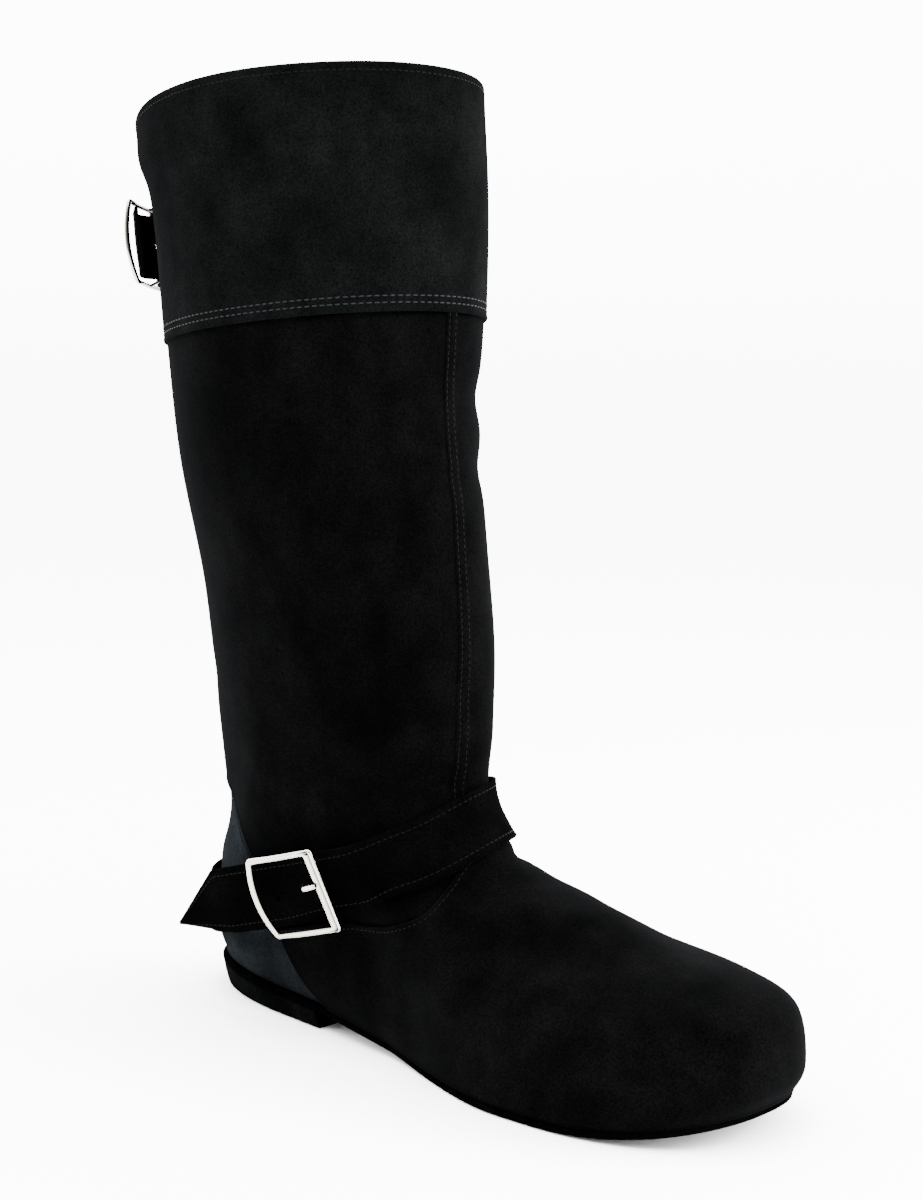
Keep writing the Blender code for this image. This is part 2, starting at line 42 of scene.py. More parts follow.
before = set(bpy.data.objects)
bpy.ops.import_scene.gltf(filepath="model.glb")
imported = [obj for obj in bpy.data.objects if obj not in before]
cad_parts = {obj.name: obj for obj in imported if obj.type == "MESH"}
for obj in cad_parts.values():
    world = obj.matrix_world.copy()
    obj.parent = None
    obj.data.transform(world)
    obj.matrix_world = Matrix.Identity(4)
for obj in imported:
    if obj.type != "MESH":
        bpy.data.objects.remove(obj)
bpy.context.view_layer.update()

MM = 0.001
# From the heel's back to the frame's origin. Sizes here are in mm and angles in degrees, if not said
# otherwise.
SHIFT = np.array([-111.26, -0.2, 0.0])

# Air between neighbouring solids, and the wall of the upper
GAP = 0.3
WALL = 1.8

# Sole: thickness, height of the heel seat at its back and at the heel's breast, places along the foot,
# the toe's spring, and the share of the way to the toe at which the spring's curve stops
SOLE_THICKNESS = 3.0
HEEL_SEAT_HEIGHT = 13.0
BREAST_SEAT_HEIGHT = 10.5
BREAST_X = 73.0
BALL_START_X = 146.0
BALL_END_X = 200.0
TOE_X = 262.0
TOE_SPRING = 8.5
SPRING_STOP = 1.1

# Shares of a ring's length at which it has its half widths of heel, waist and ball
HEEL_SHARE = 0.17
WAIST_SHARE = 0.45
BALL_SHARE = 0.72

# Rings of the form: its two ends in the side view, how far it follows the sole's curve, half widths at
# heel, waist and ball on the outer and inner side, shares of the rounded ends, squareness of the toe, and
# the swings of toe and heel to the inner side
Ring = namedtuple("Ring", "back_x back_z front_x front_z follow heel_out waist_out ball_out"
                          " heel_in waist_in ball_in back_round front_round toe_power toe_swing heel_swing")
RINGS = {
    "feather": Ring(-10.5, GAP, 261, GAP, 1, 28.5, 30, 47, 28.5, 25, 43.5, .22, .25, 2.3, 5, 3.5),
    "side": Ring(-13.5, 11, 266, 10, 1, 32, 32.5, 46.5, 32, 28.5, 44, .21, .25, 2.3, 5, 3.5),
    "toe_edge": Ring(-13, 20.5, 261.5, 30, 1, 32, 32.5, 45.5, 32.5, 30.5, 44, .20, .26, 2.3, 5, 3.5),
    "toe_top": Ring(-12, 32, 244, 43, .7, 31.5, 31, 41.5, 32.5, 32, 40.5, .20, .34, 2.1, 7, 3),
    "vamp_low": Ring(-11, 40, 216, 50.5, .4, 30.5, 29, 37, 31.5, 32.5, 36.5, .21, .38, 2, 6, 2.5),
    "vamp_mid": Ring(-10, 48, 186.5, 60, .2, 30, 28.5, 33.5, 31, 32.5, 34, .24, .42, 2, 4, 2),
    "vamp_high": Ring(-8.5, 57, 154.5, 69.5, .1, 30.5, 31, 32.5, 30.5, 33, 32.5, .28, .46, 2, 2, 1.5),
    "instep": Ring(-5.5, 70, 129.5, 92.5, 0, 31.5, 37.5, 34.5, 31, 36, 33.5, .33, .48, 2, 1, 1),
    "ankle": Ring(-2.5, 92, 129.5, 123.5, 0, 34, 39, 37, 34, 38, 37, .41, .50, 2, 0, 0),
    "shaft_low": Ring(-5, 125, 127.5, 155.5, 0, 40, 41.5, 41, 38.5, 41.5, 42, .48, .50, 2, 0, 0),
    "shaft_calf": Ring(-10, 170, 120.5, 196, 0, 44.5, 46, 45.5, 43.5, 46, 46, .50, .50, 2, 0, 0),
    "shaft_high": Ring(-20.5, 220, 113.5, 239.5, 0, 51, 51, 50.5, 49.5, 51, 50.5, .50, .50, 2, 0, 0),
    "shaft_top": Ring(-27, 269.5, 114, 281.5, 0, 54.5, 55, 54.5, 53, 55, 54.5, .50, .50, 2, 0, 0),
    "cuff": Ring(-33.5, 318, 114, 324.5, 0, 56, 56.5, 56, 55, 56.5, 56, .50, .50, 2, 0, 0),
    "collar": Ring(-43.5, 363, 110.5, 369, 0, 59, 57.5, 58, 57.5, 58, 57.5, .50, .50, 2, 0, 0),
}
TABLE = np.array(list(RINGS.values()))
COLLAR_LEVEL = float(len(TABLE) - 1)
CUFF_LEVEL = 11.95

# The worn collar sags at the back of its outer side: how far, at which angle, how wide, and over which level
COLLAR_SAG = 8.5
SAG_ANGLE = 22.0
SAG_WIDTH = 40.0
SAG_LEVEL = COLLAR_LEVEL - 1

# Edges of the panels in the side view, as x and z. The counter's and the shaft's edges run on under the
# panel over them.
COUNTER_TOP = [(-60, 97), (8, 97), (22, 92), (32, 86), (39, 79), (42, 70), (44, 62), (53, 48), (62, 37),
               (72, 27), (87, 17), (113, -6)]
SHAFT_EDGE = [(-60, 90), (6, 90), (18, 87.5), (26, 83), (32.5, 77), (35.3, 70.8), (37, 63), (46, 48),
              (56, 33), (68, 29), (96, 34), (125, 43), (140, 50), (146, 58), (148, 75), (150, 200)]
VAMP_REAR = [(-60, 200), (46, 46), (57, 31.6), (63.7, 25), (69.5, 19.3), (76.4, 14), (88, 7.5), (105, 0),
             (106, -30)]
VAMP_TOP = [(40, 35), (57, 38), (80, 44), (92.5, 46.4), (103, 47.9), (117, 50.6), (128, 54.1), (133, 56.6),
            (136.5, 59.8), (137.5, 64), (138.5, 70), (140, 92), (142, 220)]

# An edge is read at every mm between these ends, and its corners are softened over so many of them. The
# level at which it crosses a column is found by halving.
EDGE_REACH = (-60.0, 300.0)
EDGE_SOFT = 7
EDGE_HALVINGS = 40

# Mesh columns lean back down the foot, by so much for each level under the lean level, so that none runs
# along a panel's edge
LEAN = 6.0
LEAN_LEVEL = 8.5

# How far each panel's face stands out from the form
COUNTER_OUT = -0.2
SHAFT_OUT = 0.9
VAMP_OUT = 2.0
CUFF_OUT = 1.9
SEAM_OUT = 0.5

# Half width of the painted shade along a panel's edge
SEAM_SHADE = 1.1

# Cut edge of a panel from under it onto its face: way in from the edge, and height in shares of the lip
LIP_PROFILE = ((.9, -.9), (.25, -.6), (0.0, -.3), (.06, -.06), (.35, .12), (.9, .2), (1.6, .14), (2.6, 0.0))

# Rolled rim: how far under the collar it starts, then levels up from there with heights out of the form
RIM_DROP = 0.03
RIM_ROLL = ((.012, 1.75), (.026, 1.35), (.034, .7), (.034, 0.0), (.024, -.9), (.004, -1.5), (-.05, -1.8))

# Front seam: levels with the angles of its middle, and the raised strip's lower end, its margin past the
# stitches, and its half section as way in and share of its height
SEAM_LEVELS = (7.2, 8.4, 10.3, 12.2)
SEAM_ANGLES = (169.0, 171.0, 180.0, 180.0)
STRIP_LOW = 7.0
STRIP_MARGIN = 1.3
STRIP_PROFILE = ((-.2, -.3), (0.0, .3), (.25, 1.0), (.9, 1.0), (1.3, .75), (1.7, 1.0))
STRIP_MIDDLE = 0.85

# Edges of the sole, by depth, and of the heel, by share of its height, with their growth past the form's
# edge, and the gap between heel and sole
SOLE_EDGE = ((0.0, -2.0), (0.0, .9), (.25, 1.45), (.9, 1.8), (2.0, 1.8), (2.7, 1.5), (3.0, .9))
HEEL_SIDE = ((1.0, 1.4), (.97, 1.6), (.55, .8), (.16, -.3), (.05, -.7), (0.0, -1.4))
HEEL_GAP = 0.1

# Loose fibres of the sole: depth and growth of their rows, least height over the floor, droop, width,
# turn out of the surface, and spread of their turns in radians
FIBRE_ROWS = ((.7, 1.6), (1.6, 1.7), (2.5, 1.5))
FIBRE_LOW = 0.3
FIBRE_DROOP = -0.5
FIBRE_WIDTH = 0.07
FIBRE_STAND = -75.0
FIBRE_SPREAD = 0.8

# Stitches: spread of their turns in radians, thickness against width, height in shares of a strap's
# thickness, and the columns of the vamp's row
STITCH_SPREAD = 0.06
STITCH_FLAT = 0.7
STITCH_HEIGHT = 0.93
VAMP_ROW = np.linspace(80, 280, 140)

# Levels by which the shaft and its strip run up under the cuff, and by which the strip's stitches end
# under it
SHAFT_UNDER = 0.15
STRIP_UNDER = 0.05
STITCH_UNDER = 0.02

# Angles between which the ends of vamp and counter are looked for, and the levels of height that end them
VAMP_TRIAL = np.linspace(20, 160, 500)
VAMP_LEAST = 0.06
COUNTER_TRIAL = np.linspace(40, 170, 500)
COUNTER_LEAST = 0.08

# Meshes: columns round the boot, the vamp, the counter, the lining and the heel, points of the rows of
# stitches and of fibres round the boot, and rows of each panel
COLUMNS = 260
VAMP_COLUMNS = 300
COUNTER_COLUMNS = 200
LINING_COLUMNS = 120
HEEL_COLUMNS = 120
ROW_POINTS = 160
FIBRE_POINTS = 240
SHAFT_ROWS = 150
VAMP_ROWS = 80
COUNTER_ROWS = 110
CUFF_ROWS = 60

# Soft creases: level and angle of the middle, tilt of the fold from round the boot to up it, then its
# half length, half width and height out of the form. Past the reach through the boot a crease dies
# away.
Crease = namedtuple("Crease", "level angle tilt length width height")
CREASES = {
    "front_dent_high": Crease(11.24, 218, 0, 26, 9, -1.6),
    "front_swell_high": Crease(10.94, 218, 0, 24, 8, .6),
    "front_dent_low": Crease(10.60, 218, 4, 24, 8, -1.3),
    "arch_fold": Crease(10.70, 161, -14, 13, 2.6, 1.0),
    "arch_hollow": Crease(10.50, 159, -8, 15, 6, -1.3),
    "lower_swell": Crease(9.0, 149, 78, 24, 8, 1.1),
    "lower_hollow": Crease(8.45, 138, 80, 28, 8, -1.4),
    "calf_hollow": Crease(9.9, 96, 70, 40, 16, -1.0),
    "calf_swell": Crease(10.4, 118, 75, 40, 14, .7),
    "strap_pucker_out": Crease(7.45, 158, -35, 13, 3.5, -1.0),
    "strap_pucker_mid": Crease(7.62, 166, -28, 12, 3.0, .7),
    "ankle_back_hollow": Crease(7.2, 30, 0, 24, 15, -2.6),
    "counter_swell": Crease(6.3, 36, 0, 18, 10, .5),
    "ankle_back_fold": Crease(7.9, 78, -12, 22, 5, -.8),
    "ankle_inner_fold": Crease(7.8, 262, 10, 24, 5, -.9),
    "shaft_inner_hollow": Crease(9.6, 255, 70, 40, 12, -1.3),
    "shaft_back_dent": Crease(9.2, 8, 0, 26, 9, -1.2),
    "cuff_hollow": Crease(12.8, 118, 68, 30, 14, -.8),
    "cuff_swell": Crease(13.1, 150, 80, 30, 12, .6),
    "collar_roll": Crease(13.62, 40, 0, 40, 8, 1.6),
    "vamp_break": Crease(2.8, 116, 82, 28, 11, -1.4),
    "vamp_swell": Crease(2.5, 103, 84, 24, 10, .8),
    "toe_hollow": Crease(3.1, 148, 30, 22, 9, -.7),
    "vamp_inner_break": Crease(2.9, 244, 95, 28, 11, -1.2),
    "instep_fold": Crease(4.9, 158, -20, 20, 6, -.6),
    "instep_notch": Crease(6.3, 209, 0, 18, 6, -3.6),
}
CREASE_REACH = 30.0

# Straps: the middle line's height over the heel, its slope and bend to the front, its sway down to the
# outer side and half width. Then where each strap starts, rises and leaves the form in columns of the CAD
# mesh, how far off the form it gets, and its straight free end with the hole and the buckle on it.
COLUMN_ANGLE = 360.0 / 44
STRAP_THICKNESS = 1.8
STRAP_REST = 2.2
SWAY_ROUND = 15.0
LINE_HALVINGS = 30
StrapLine = namedtuple("StrapLine", "level slope bend sway half_width")
Strap = namedtuple("Strap", "line start rise leave raised tail tip splay turn lean"
                            " hole_at buckle_at buckle_up buckle_out")
ANKLE_LINE = StrapLine(48.3, .478, -11.2, .554, 12.6)
CUFF_LINE = StrapLine(310.6, .0, .0, .0, 13.3)
STRAPS = {
    "ankle": Strap(ANKLE_LINE, 10, -27, -31, 5.2, 93.4, 28.0, -6.7, -2.3, 13.7, 19.9, 21.9, -1.0, 2.0),
    "cuff": Strap(CUFF_LINE, 38, 39, 48, 4.2, 15.0, 4.0, 0.0, 3.0, 0.0, -6.0, -4.0, -0.5, 0.3),
}
TIP_REACH = 0.4
TIP_BLUNT = 0.05
STRAP_STEP = 0.5
TAIL_STEP = 1.5
TAIL_BLEND = 24.0
# How far the free end's lower edge spreads, from where and over what length, and how far each strap
# swells out inside its buckle
TAIL_SPREAD = {"ankle": 2.6, "cuff": 0.0}
SPREAD_START = 8.0
SPREAD_LENGTH = 30.0
BUCKLE_SWELL = {"ankle": 0.0, "cuff": 6.2}
SWELL_LENGTH = 13.0
# Punched holes: radius, the rim's section in shares of radius and strap thickness, and the spare hole's
# place
HOLE_RADIUS = 0.9
HOLE_SIDES = 20
HOLE_RIM = ((1.35, 1.075), (1.1, 1.13), (.8, 1.11))
SPARE_HOLE = (15.0, -3.0)
Frame = namedtuple("Frame", "origin along across out")

# A studio bright enough for a white floor lifts dark colours, so suede gives back only this share of its
# colour, and still less along its seams, as painted shade where panels' edges meet
NAP_DEPTH = 0.13
SEAM_SHADOW_SHARE = 0.1

# Stage: where the white studio is brightest, behind the boot and overhead, and between which shares of
# that way it brightens; up to which height, and from which share, its wall fades to the floor; then in
# metres its soft boxes, the point that they face, the floor, and the camera's aim along the boot
LIGHT_WAY = (-.5, .74, .45)
LIGHT_FROM = -0.6
LIGHT_TO = 0.3
FADE_HEIGHT = 0.16
FADE_SHARE = 0.78
KEY_PLACE = (.15, -.35, 1.25)
KEY_SIZE = 1.2
SIDE_PLACE = (1.0, .8, .6)
SIDE_SIZE = 0.8
LIGHT_AIM = (0, 0, .15)
FLOOR_RADIUS = 9
FLOOR_HEIGHT = -0.0002
CAMERA_AIM = 0.1

# Buckles: outer size, corners and wire, then the seen widths of each one's bars, their half height, and
# how far its rear bar bows back and lifts
BUCKLE_LENGTH = 34.0
BUCKLE_WIDTH = 34.4
BUCKLE_CORNER = 1.5
BUCKLE_INNER_CORNER = 0.7
BUCKLE_WIRE = 1.5
FRONT_BAR_SWELL = 1.35
FRONT_GROOVE = 0.9
SIDE_BAR_ARCH = 0.7
Buckle = namedtuple("Buckle", "front_bar rear_bar side_bar height bow lift")
BUCKLES = {
    "ankle": Buckle(4.2, 2.8, 2.4, 1.0, 2.5, 2.0),
    "cuff": Buckle(4.2, 2.4, 1.8, 1.0, 2.5, 2.0),
}
CENTRE_BAR_WIRE = 0.6
CENTRE_BAR_DROP = 3.0
PRONG_WIRE = 0.9
# Buckle frame: where the rear bar's bow starts and how soon it is full, run-in and extra height of the
# front bar, place and half width of its groove; then start and run of the painted shade on inner sides,
# tops and undersides
REAR_START = 5
REAR_RUN = 10
FRONT_RUN = 0.8
FRONT_RISE = 0.4
GROOVE_AT = 0.35
GROOVE_HALF = 0.22
INNER_SHADE = (.3, .5)
TOP_SHADE = (.8, .5)
UNDER_SHADE = (.1, .4)
# Edges that turn by more than this stay sharp
NICKEL_SMOOTH = 50
SOLE_SMOOTH = 60
HEEL_SMOOTH = 40


def linear(code):
    """A colour from its sRGB hex code, in the linear values that shaders use."""
    parts = [int(code[i:i + 2], 16) / 255 for i in (1, 3, 5)]
    return tuple(v / 12.92 if v <= 0.04045 else ((v + 0.055) / 1.055) ** 2.4 for v in parts) + (1.0,)


def length(name, description, default):
    """A size property in metres, with its default in mm."""
    return bpy.props.FloatProperty(name=name, description=description, default=default * MM, min=0.0,
                                   precision=5, subtype="DISTANCE", unit="LENGTH")


def colour(name, description, code):
    """A colour property, with its default as an sRGB hex code."""
    return bpy.props.FloatVectorProperty(name=name, description=description, default=linear(code), size=4,
                                         min=0.0, max=1.0, subtype="COLOR")


def rotation(name, description, degrees):
    """An angle property, with its default in degrees."""
    return bpy.props.FloatProperty(name=name, description=description, default=math.radians(degrees),
                                   subtype="ANGLE", unit="ROTATION")


def amount(name, description, default, least=0.0):
    """A plain number property."""
    return bpy.props.FloatProperty(name=name, description=description, default=default, min=least)


class BootSizes(bpy.types.PropertyGroup):
    """Sizes of the boot's finer work."""
    lip: length("Panel lip", "Thickness seen at a panel's cut edge", 1.2)
    cuff_lip: length("Cuff lip", "Thickness seen at the cuff's lower edge", 1.9)
    stitch_pitch: length("Stitch pitch", "From one stitch to the next", 2.4)
    stitch_length: length("Stitch length", "Length of a stitch on the surface", 1.9)
    thread: length("Thread", "Thickness of the sewing thread", 0.5)
    cuff_pitch: length("Cuff stitch pitch", "From one stitch of the cuff to the next", 2.9)
    cuff_stitch: length("Cuff stitch length", "Length of a stitch of the cuff", 2.3)
    cuff_thread: length("Cuff thread", "Thickness of the cuff's thread", 0.6)
    strap_inset: length("Strap stitch inset", "From a strap's edge to its row of stitches", 2.8)
    vamp_inset: length("Vamp stitch inset", "From the vamp's edge to its row of stitches", 2.2)
    collar_inset: length("Collar stitch inset", "From the rim to the collar's row of stitches", 1.9)
    cuff_inset: length("Cuff stitch inset", "From the cuff's edge to its first row of stitches", 3.2)
    cuff_rows: length("Cuff row spacing", "Between the cuff's two rows of stitches", 2.5)
    seam_rows: length("Front seam width", "Between the two rows of stitches of the front seam", 3.2)
    fibre: length("Sole fibre", "Length of the loose fibres at the sole's edge", 1.3)
    fibre_pitch: length("Fibre pitch", "Along the sole's edge from one fibre to the next", 0.35)


class BootColours(bpy.types.PropertyGroup):
    """Colours of the boot's materials."""
    suede: colour("Suede", "Black suede of shaft and vamp", "#0d0d0d")
    suede_strap: colour("Strap suede", "Closer napped suede of the straps", "#0b0b0b")
    suede_cuff: colour("Cuff suede", "Charcoal suede of the cuff, brushed another way", "#151616")
    suede_blue: colour("Counter suede", "Blue-black suede of the counter", "#292e31")
    nap: colour("Nap", "Light that the nap gives back at a low angle", "#8f9498")
    thread: colour("Thread", "Sewing thread of the cuff", "#101214")
    thread_dark: colour("Sunken thread", "Sewing thread of seams and straps", "#030303")
    lining: colour("Lining", "Lining inside the shaft", "#030303")
    # The sole's edge is darker than the heel: its own black and painted shade of its recess under the upper
    sole: colour("Sole", "Rough suede of the sole's edge", "#080808")
    heel: colour("Heel", "Rough suede round the heel block", "#131414")
    insole: colour("Insole", "Leather inside the boot", "#0d0b09")
    nickel: colour("Nickel", "Polished buckles", "#a3a097")
    # A hole's colour is painted shade: a black disc lies on the strap for its depth
    hole: colour("Hole", "Bottom of a punched hole", "#000000")
    floor: colour("Floor", "Pale studio floor", "#fbfbfb")


class StageSettings(bpy.types.PropertyGroup):
    """Camera and light of the studio."""
    azimuth: rotation("Azimuth", "Camera's turn from the outer side to the toe", 44.39)
    distance: length("Distance", "Camera's distance from the boot in plan", 714.91)
    height: length("Height", "Camera's height over the floor", 239.06)
    pan: rotation("Pan", "Camera's turn to the right of the boot", 1.26)
    tilt: rotation("Tilt", "Camera's tilt down", 5.51)
    roll: rotation("Roll", "Camera's roll about its line of sight", 0.745)
    focal: amount("Focal length", "Lens on a sensor of 36 mm, in mm", 55.86, 1.0)
    surround: amount("Surround", "Strength of the white studio behind and above", 13.0)
    dim: amount("Dim side", "Strength of the studio on the camera's side", .5)
    key: amount("Key light", "Power of the soft box overhead, in watts", 58.0)
    side: amount("Side light", "Power of the soft box at the toe, in watts", 90.0)


def smooth(share):
    """Ease from 0 to 1."""
    share = np.clip(share, 0, 1)
    return share * share * (3 - 2 * share)


def sole_top(x):
    """Height of the sole's upper face: sloping heel seat, arch, flat ball and toe spring."""
    seat = HEEL_SEAT_HEIGHT + (BREAST_SEAT_HEIGHT - HEEL_SEAT_HEIGHT) * np.clip(x / BREAST_X, 0, 1)
    arch = smooth((x - BREAST_X) / (BALL_START_X - BREAST_X))
    spring = np.clip((x - BALL_END_X) / (TOE_X - BALL_END_X), 0, SPRING_STOP) ** 2
    return seat + (SOLE_THICKNESS - BREAST_SEAT_HEIGHT) * arch + TOE_SPRING * spring


def extended(rows):
    """Rows of values with one more at each end, in line with the last two."""
    return np.concatenate([[2 * rows[0] - rows[1]], rows, [2 * rows[-1] - rows[-2]]])


def curve_between(a, b, c, d, t):
    """Values from b to c on a smooth curve through four rows."""
    curve = 2 * b + (c - a) * t + (2 * a - 5 * b + 4 * c - d) * t ** 2
    return (curve + (3 * b - a - 3 * c + d) * t ** 3) / 2


def ring_at(level):
    """Ring values at fractional levels, on a smooth curve through the table's rows."""
    i = np.clip(np.floor(level).astype(int), 0, len(TABLE) - 2)
    rows = extended(TABLE)
    curve = curve_between(*(rows[i + step] for step in range(4)), (level - i)[..., None])
    return Ring(*np.moveaxis(curve, -1, 0))


def bare_skin(level, angle):
    """Points of the boot's outer form."""
    level, angle = np.broadcast_arrays(np.asarray(level, float), np.asarray(angle, float))
    ring = ring_at(level)
    turn = np.radians(angle)
    share = (1 - np.cos(turn)) / 2
    outer = np.sin(turn) >= 0
    x = ring.back_x + (ring.front_x - ring.back_x) * share
    z = ring.back_z + (ring.front_z - ring.back_z) * share + ring.follow * sole_top(x)
    away = (angle - SAG_ANGLE + 180) % 360 - 180
    z -= COLLAR_SAG * smooth(level - SAG_LEVEL) * np.exp(-(away / SAG_WIDTH) ** 2)
    heel = np.where(outer, ring.heel_out, ring.heel_in)
    waist = np.where(outer, ring.waist_out, ring.waist_in)
    ball = np.where(outer, ring.ball_out, ring.ball_in)
    width = heel + (waist - heel) * smooth((share - HEEL_SHARE) / (WAIST_SHARE - HEEL_SHARE))
    width += (ball - waist) * smooth((share - WAIST_SHARE) / (BALL_SHARE - WAIST_SHARE))
    back_end = np.sqrt(1 - np.clip(1 - share / ring.back_round, 0, 1) ** 2)
    ahead = np.clip(1 - (1 - share) / ring.front_round, 0, 1)
    front_end = (1 - ahead ** ring.toe_power) ** (1 / ring.toe_power)
    swing = ring.toe_swing * smooth(2 * share - 1) + ring.heel_swing * smooth(1 - 2 * share)
    y = swing + np.where(outer, -1, 1) * width * back_end * front_end
    return np.stack([x, y, z], -1)


def unit(vectors):
    """Vectors at length one."""
    return vectors / np.linalg.norm(vectors, axis=-1, keepdims=True)


def normal_at(level, angle):
    """The way out of the form."""
    step = 0.01
    along = bare_skin(level, angle + step) - bare_skin(level, angle - step)
    up = bare_skin(level + step, angle) - bare_skin(level - step, angle)
    return unit(np.cross(along, up))


def skin(level, angle, out=0.0):
    """Points of the plain form, moved out along its normal."""
    return bare_skin(level, angle) + np.asarray(out, float)[..., None] * normal_at(level, angle)


def crease_height(points):
    """Height of all the creases at points of the form."""
    total = np.zeros(points.shape[:-1])
    for crease in CREASES.values():
        middle = bare_skin(crease.level, crease.angle)
        out = normal_at(crease.level, crease.angle)
        up = unit(np.cross(out, bare_skin(crease.level, crease.angle + 1) - middle))
        round_boot = np.cross(up, out)
        tilt = math.radians(crease.tilt)
        away = points - middle
        along = away @ (round_boot * math.cos(tilt) + up * math.sin(tilt)) / crease.length
        across = away @ (up * math.cos(tilt) - round_boot * math.sin(tilt)) / crease.width
        through = away @ out / CREASE_REACH
        total += crease.height * np.exp(-along ** 2 - across ** 2 - through ** 2)
    return total


def surface(level, angle, out):
    """Points of the creased form, moved out along its normal."""
    level, angle = np.broadcast_arrays(np.asarray(level, float), np.asarray(angle, float))
    return skin(level, angle, out + crease_height(bare_skin(level, angle)))


def level_step(level, column):
    """Millimetres up a column for one level."""
    step = 0.02
    here, above = (bare_skin(spot, column_angle(column, spot)) for spot in (level, level + step))
    return np.linalg.norm(above - here, axis=-1) / step


def column_angle(column, level):
    """Angle of a leaning mesh column at a level."""
    side = np.sin(np.radians(column))
    return column - LEAN * np.maximum(LEAN_LEVEL - level, 0) * side * np.abs(side)


def degree_step(level, angle):
    """Millimetres round the boot for one degree."""
    return np.linalg.norm(bare_skin(level, angle + 1) - bare_skin(level, angle), axis=-1)


def edge_levels(outline, columns):
    """Level at which each column crosses a side-view edge, softened at its corners."""
    knots = np.array(outline, float)
    xs = np.arange(*EDGE_REACH)
    heights = np.interp(xs, knots[:, 0], knots[:, 1])
    weights = np.ones(EDGE_SOFT) / EDGE_SOFT
    soft = np.convolve(np.pad(heights, EDGE_SOFT // 2, mode="edge"), weights, mode="valid")
    low, high = np.zeros(len(columns)), np.full(len(columns), COLLAR_LEVEL)
    for _ in range(EDGE_HALVINGS):
        middle = (low + high) / 2
        here = bare_skin(middle, column_angle(columns, middle))
        under = here[:, 2] < np.interp(here[:, 0], xs, soft)
        low, high = np.where(under, middle, low), np.where(under, high, middle)
    return low


def grid_faces(rows, columns, closed):
    """Quads of a grid of points, closed round its columns or open."""
    last = columns if closed else columns - 1
    r, c = np.meshgrid(np.arange(rows - 1), np.arange(last), indexing="ij")
    d = (c + 1) % columns
    quads = np.stack([r * columns + c, r * columns + d, (r + 1) * columns + d, (r + 1) * columns + c], -1)
    return quads.reshape(-1, 4)


def flipped(faces):
    """Faces turned to their other side."""
    return [tuple(face)[::-1] for face in faces]


def capped_faces(rows, columns):
    """Faces of a solid made of closed rows of points, with both its ends."""
    last = (rows - 1) * columns
    ends = [tuple(range(columns))[::-1], tuple(range(last, last + columns))]
    return [tuple(face) for face in grid_faces(rows, columns, True)] + ends


def make_piece(name, points, faces, material, nodes=(), slot=None, smooth_angle=None, seam=None):
    """A piece from points in the form's millimetres, riding on the frame in place of CAD nodes."""
    mesh = bpy.data.meshes.new(name)
    places = (np.asarray(points, float).reshape(-1, 3) + SHIFT) * MM
    mesh.from_pydata(places.tolist(), [], [tuple(int(i) for i in face) for face in faces])
    mesh.validate()
    # The seam mark is painted shade: along panels' edges, and in buckles' grooves and hidden sides
    if seam is not None:
        mesh.attributes.new("seam", "FLOAT", "POINT").data.foreach_set("value", np.ravel(seam))
    mesh.shade_smooth()
    if smooth_angle:
        mesh.set_sharp_from_angle(angle=math.radians(smooth_angle))
    mesh.materials.append(material)
    settle(new_object(name, mesh), nodes)


def new_object(name, data):
    """An object in the scene."""
    made = bpy.data.objects.new(name, data)
    bpy.context.scene.collection.objects.link(made)
    return made


def settle(piece, nodes=()):
    """Let a finished piece ride on the frame and stand for CAD nodes."""
    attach(piece, "root")
    if nodes:
        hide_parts(*nodes)


def fill(tree, node, values):
    """Set a node's inputs: a socket is linked, anything else becomes the input's own value."""
    for key, value in values.items():
        if isinstance(value, bpy.types.NodeSocket):
            tree.links.new(value, node.inputs[key])
        else:
            node.inputs[key].default_value = value


def add(tree, kind, values=None, **settings):
    """A node with its settings and its inputs."""
    node = tree.nodes.new(kind)
    for name, value in settings.items():
        setattr(node, name, value)
    fill(tree, node, values or {})
    return node


def new_material(name):
    """A new material with its tree and main shader."""
    material = bpy.data.materials.new(name)
    material.use_nodes = True
    return material, material.node_tree, material.node_tree.nodes["Principled BSDF"]


def noise(tree, size_mm, detail=2.0):
    """A noise with patches of a size."""
    place = add(tree, "ShaderNodeTexCoord").outputs["Object"]
    values = {"Vector": place, "Scale": 1 / (size_mm * MM), "Detail": detail, "Roughness": .6}
    return add(tree, "ShaderNodeTexNoise", values).outputs["Fac"]


def spread(tree, cloud, low, high):
    """A noise's values spread between two factors."""
    values = {"Value": cloud, "From Min": .3, "From Max": .7, "To Min": low, "To Max": high}
    return add(tree, "ShaderNodeMapRange", values).outputs["Result"]


def times(tree, first, second):
    """The product of two values."""
    return add(tree, "ShaderNodeMath", {0: first, 1: second}, operation="MULTIPLY").outputs[0]


def share_of(tree, base, share):
    """A share of a colour."""
    values = {0: base[:3], "Scale": share}
    return add(tree, "ShaderNodeVectorMath", values, operation="SCALE").outputs["Vector"]


def uneven(tree, height, strength, depth_mm):
    """Normals of a surface that a pattern makes uneven."""
    values = {"Height": height, "Strength": strength, "Distance": depth_mm * MM}
    return add(tree, "ShaderNodeBump", values).outputs["Normal"]


def by_painted_shade(tree, away, along):
    """A value that changes with the painted shade marked on the mesh, along seams and in buckles' hollows."""
    seam = add(tree, "ShaderNodeAttribute", attribute_name="seam").outputs["Fac"]
    return add(tree, "ShaderNodeMapRange", {"Value": seam, "To Min": away, "To Max": along}).outputs["Result"]


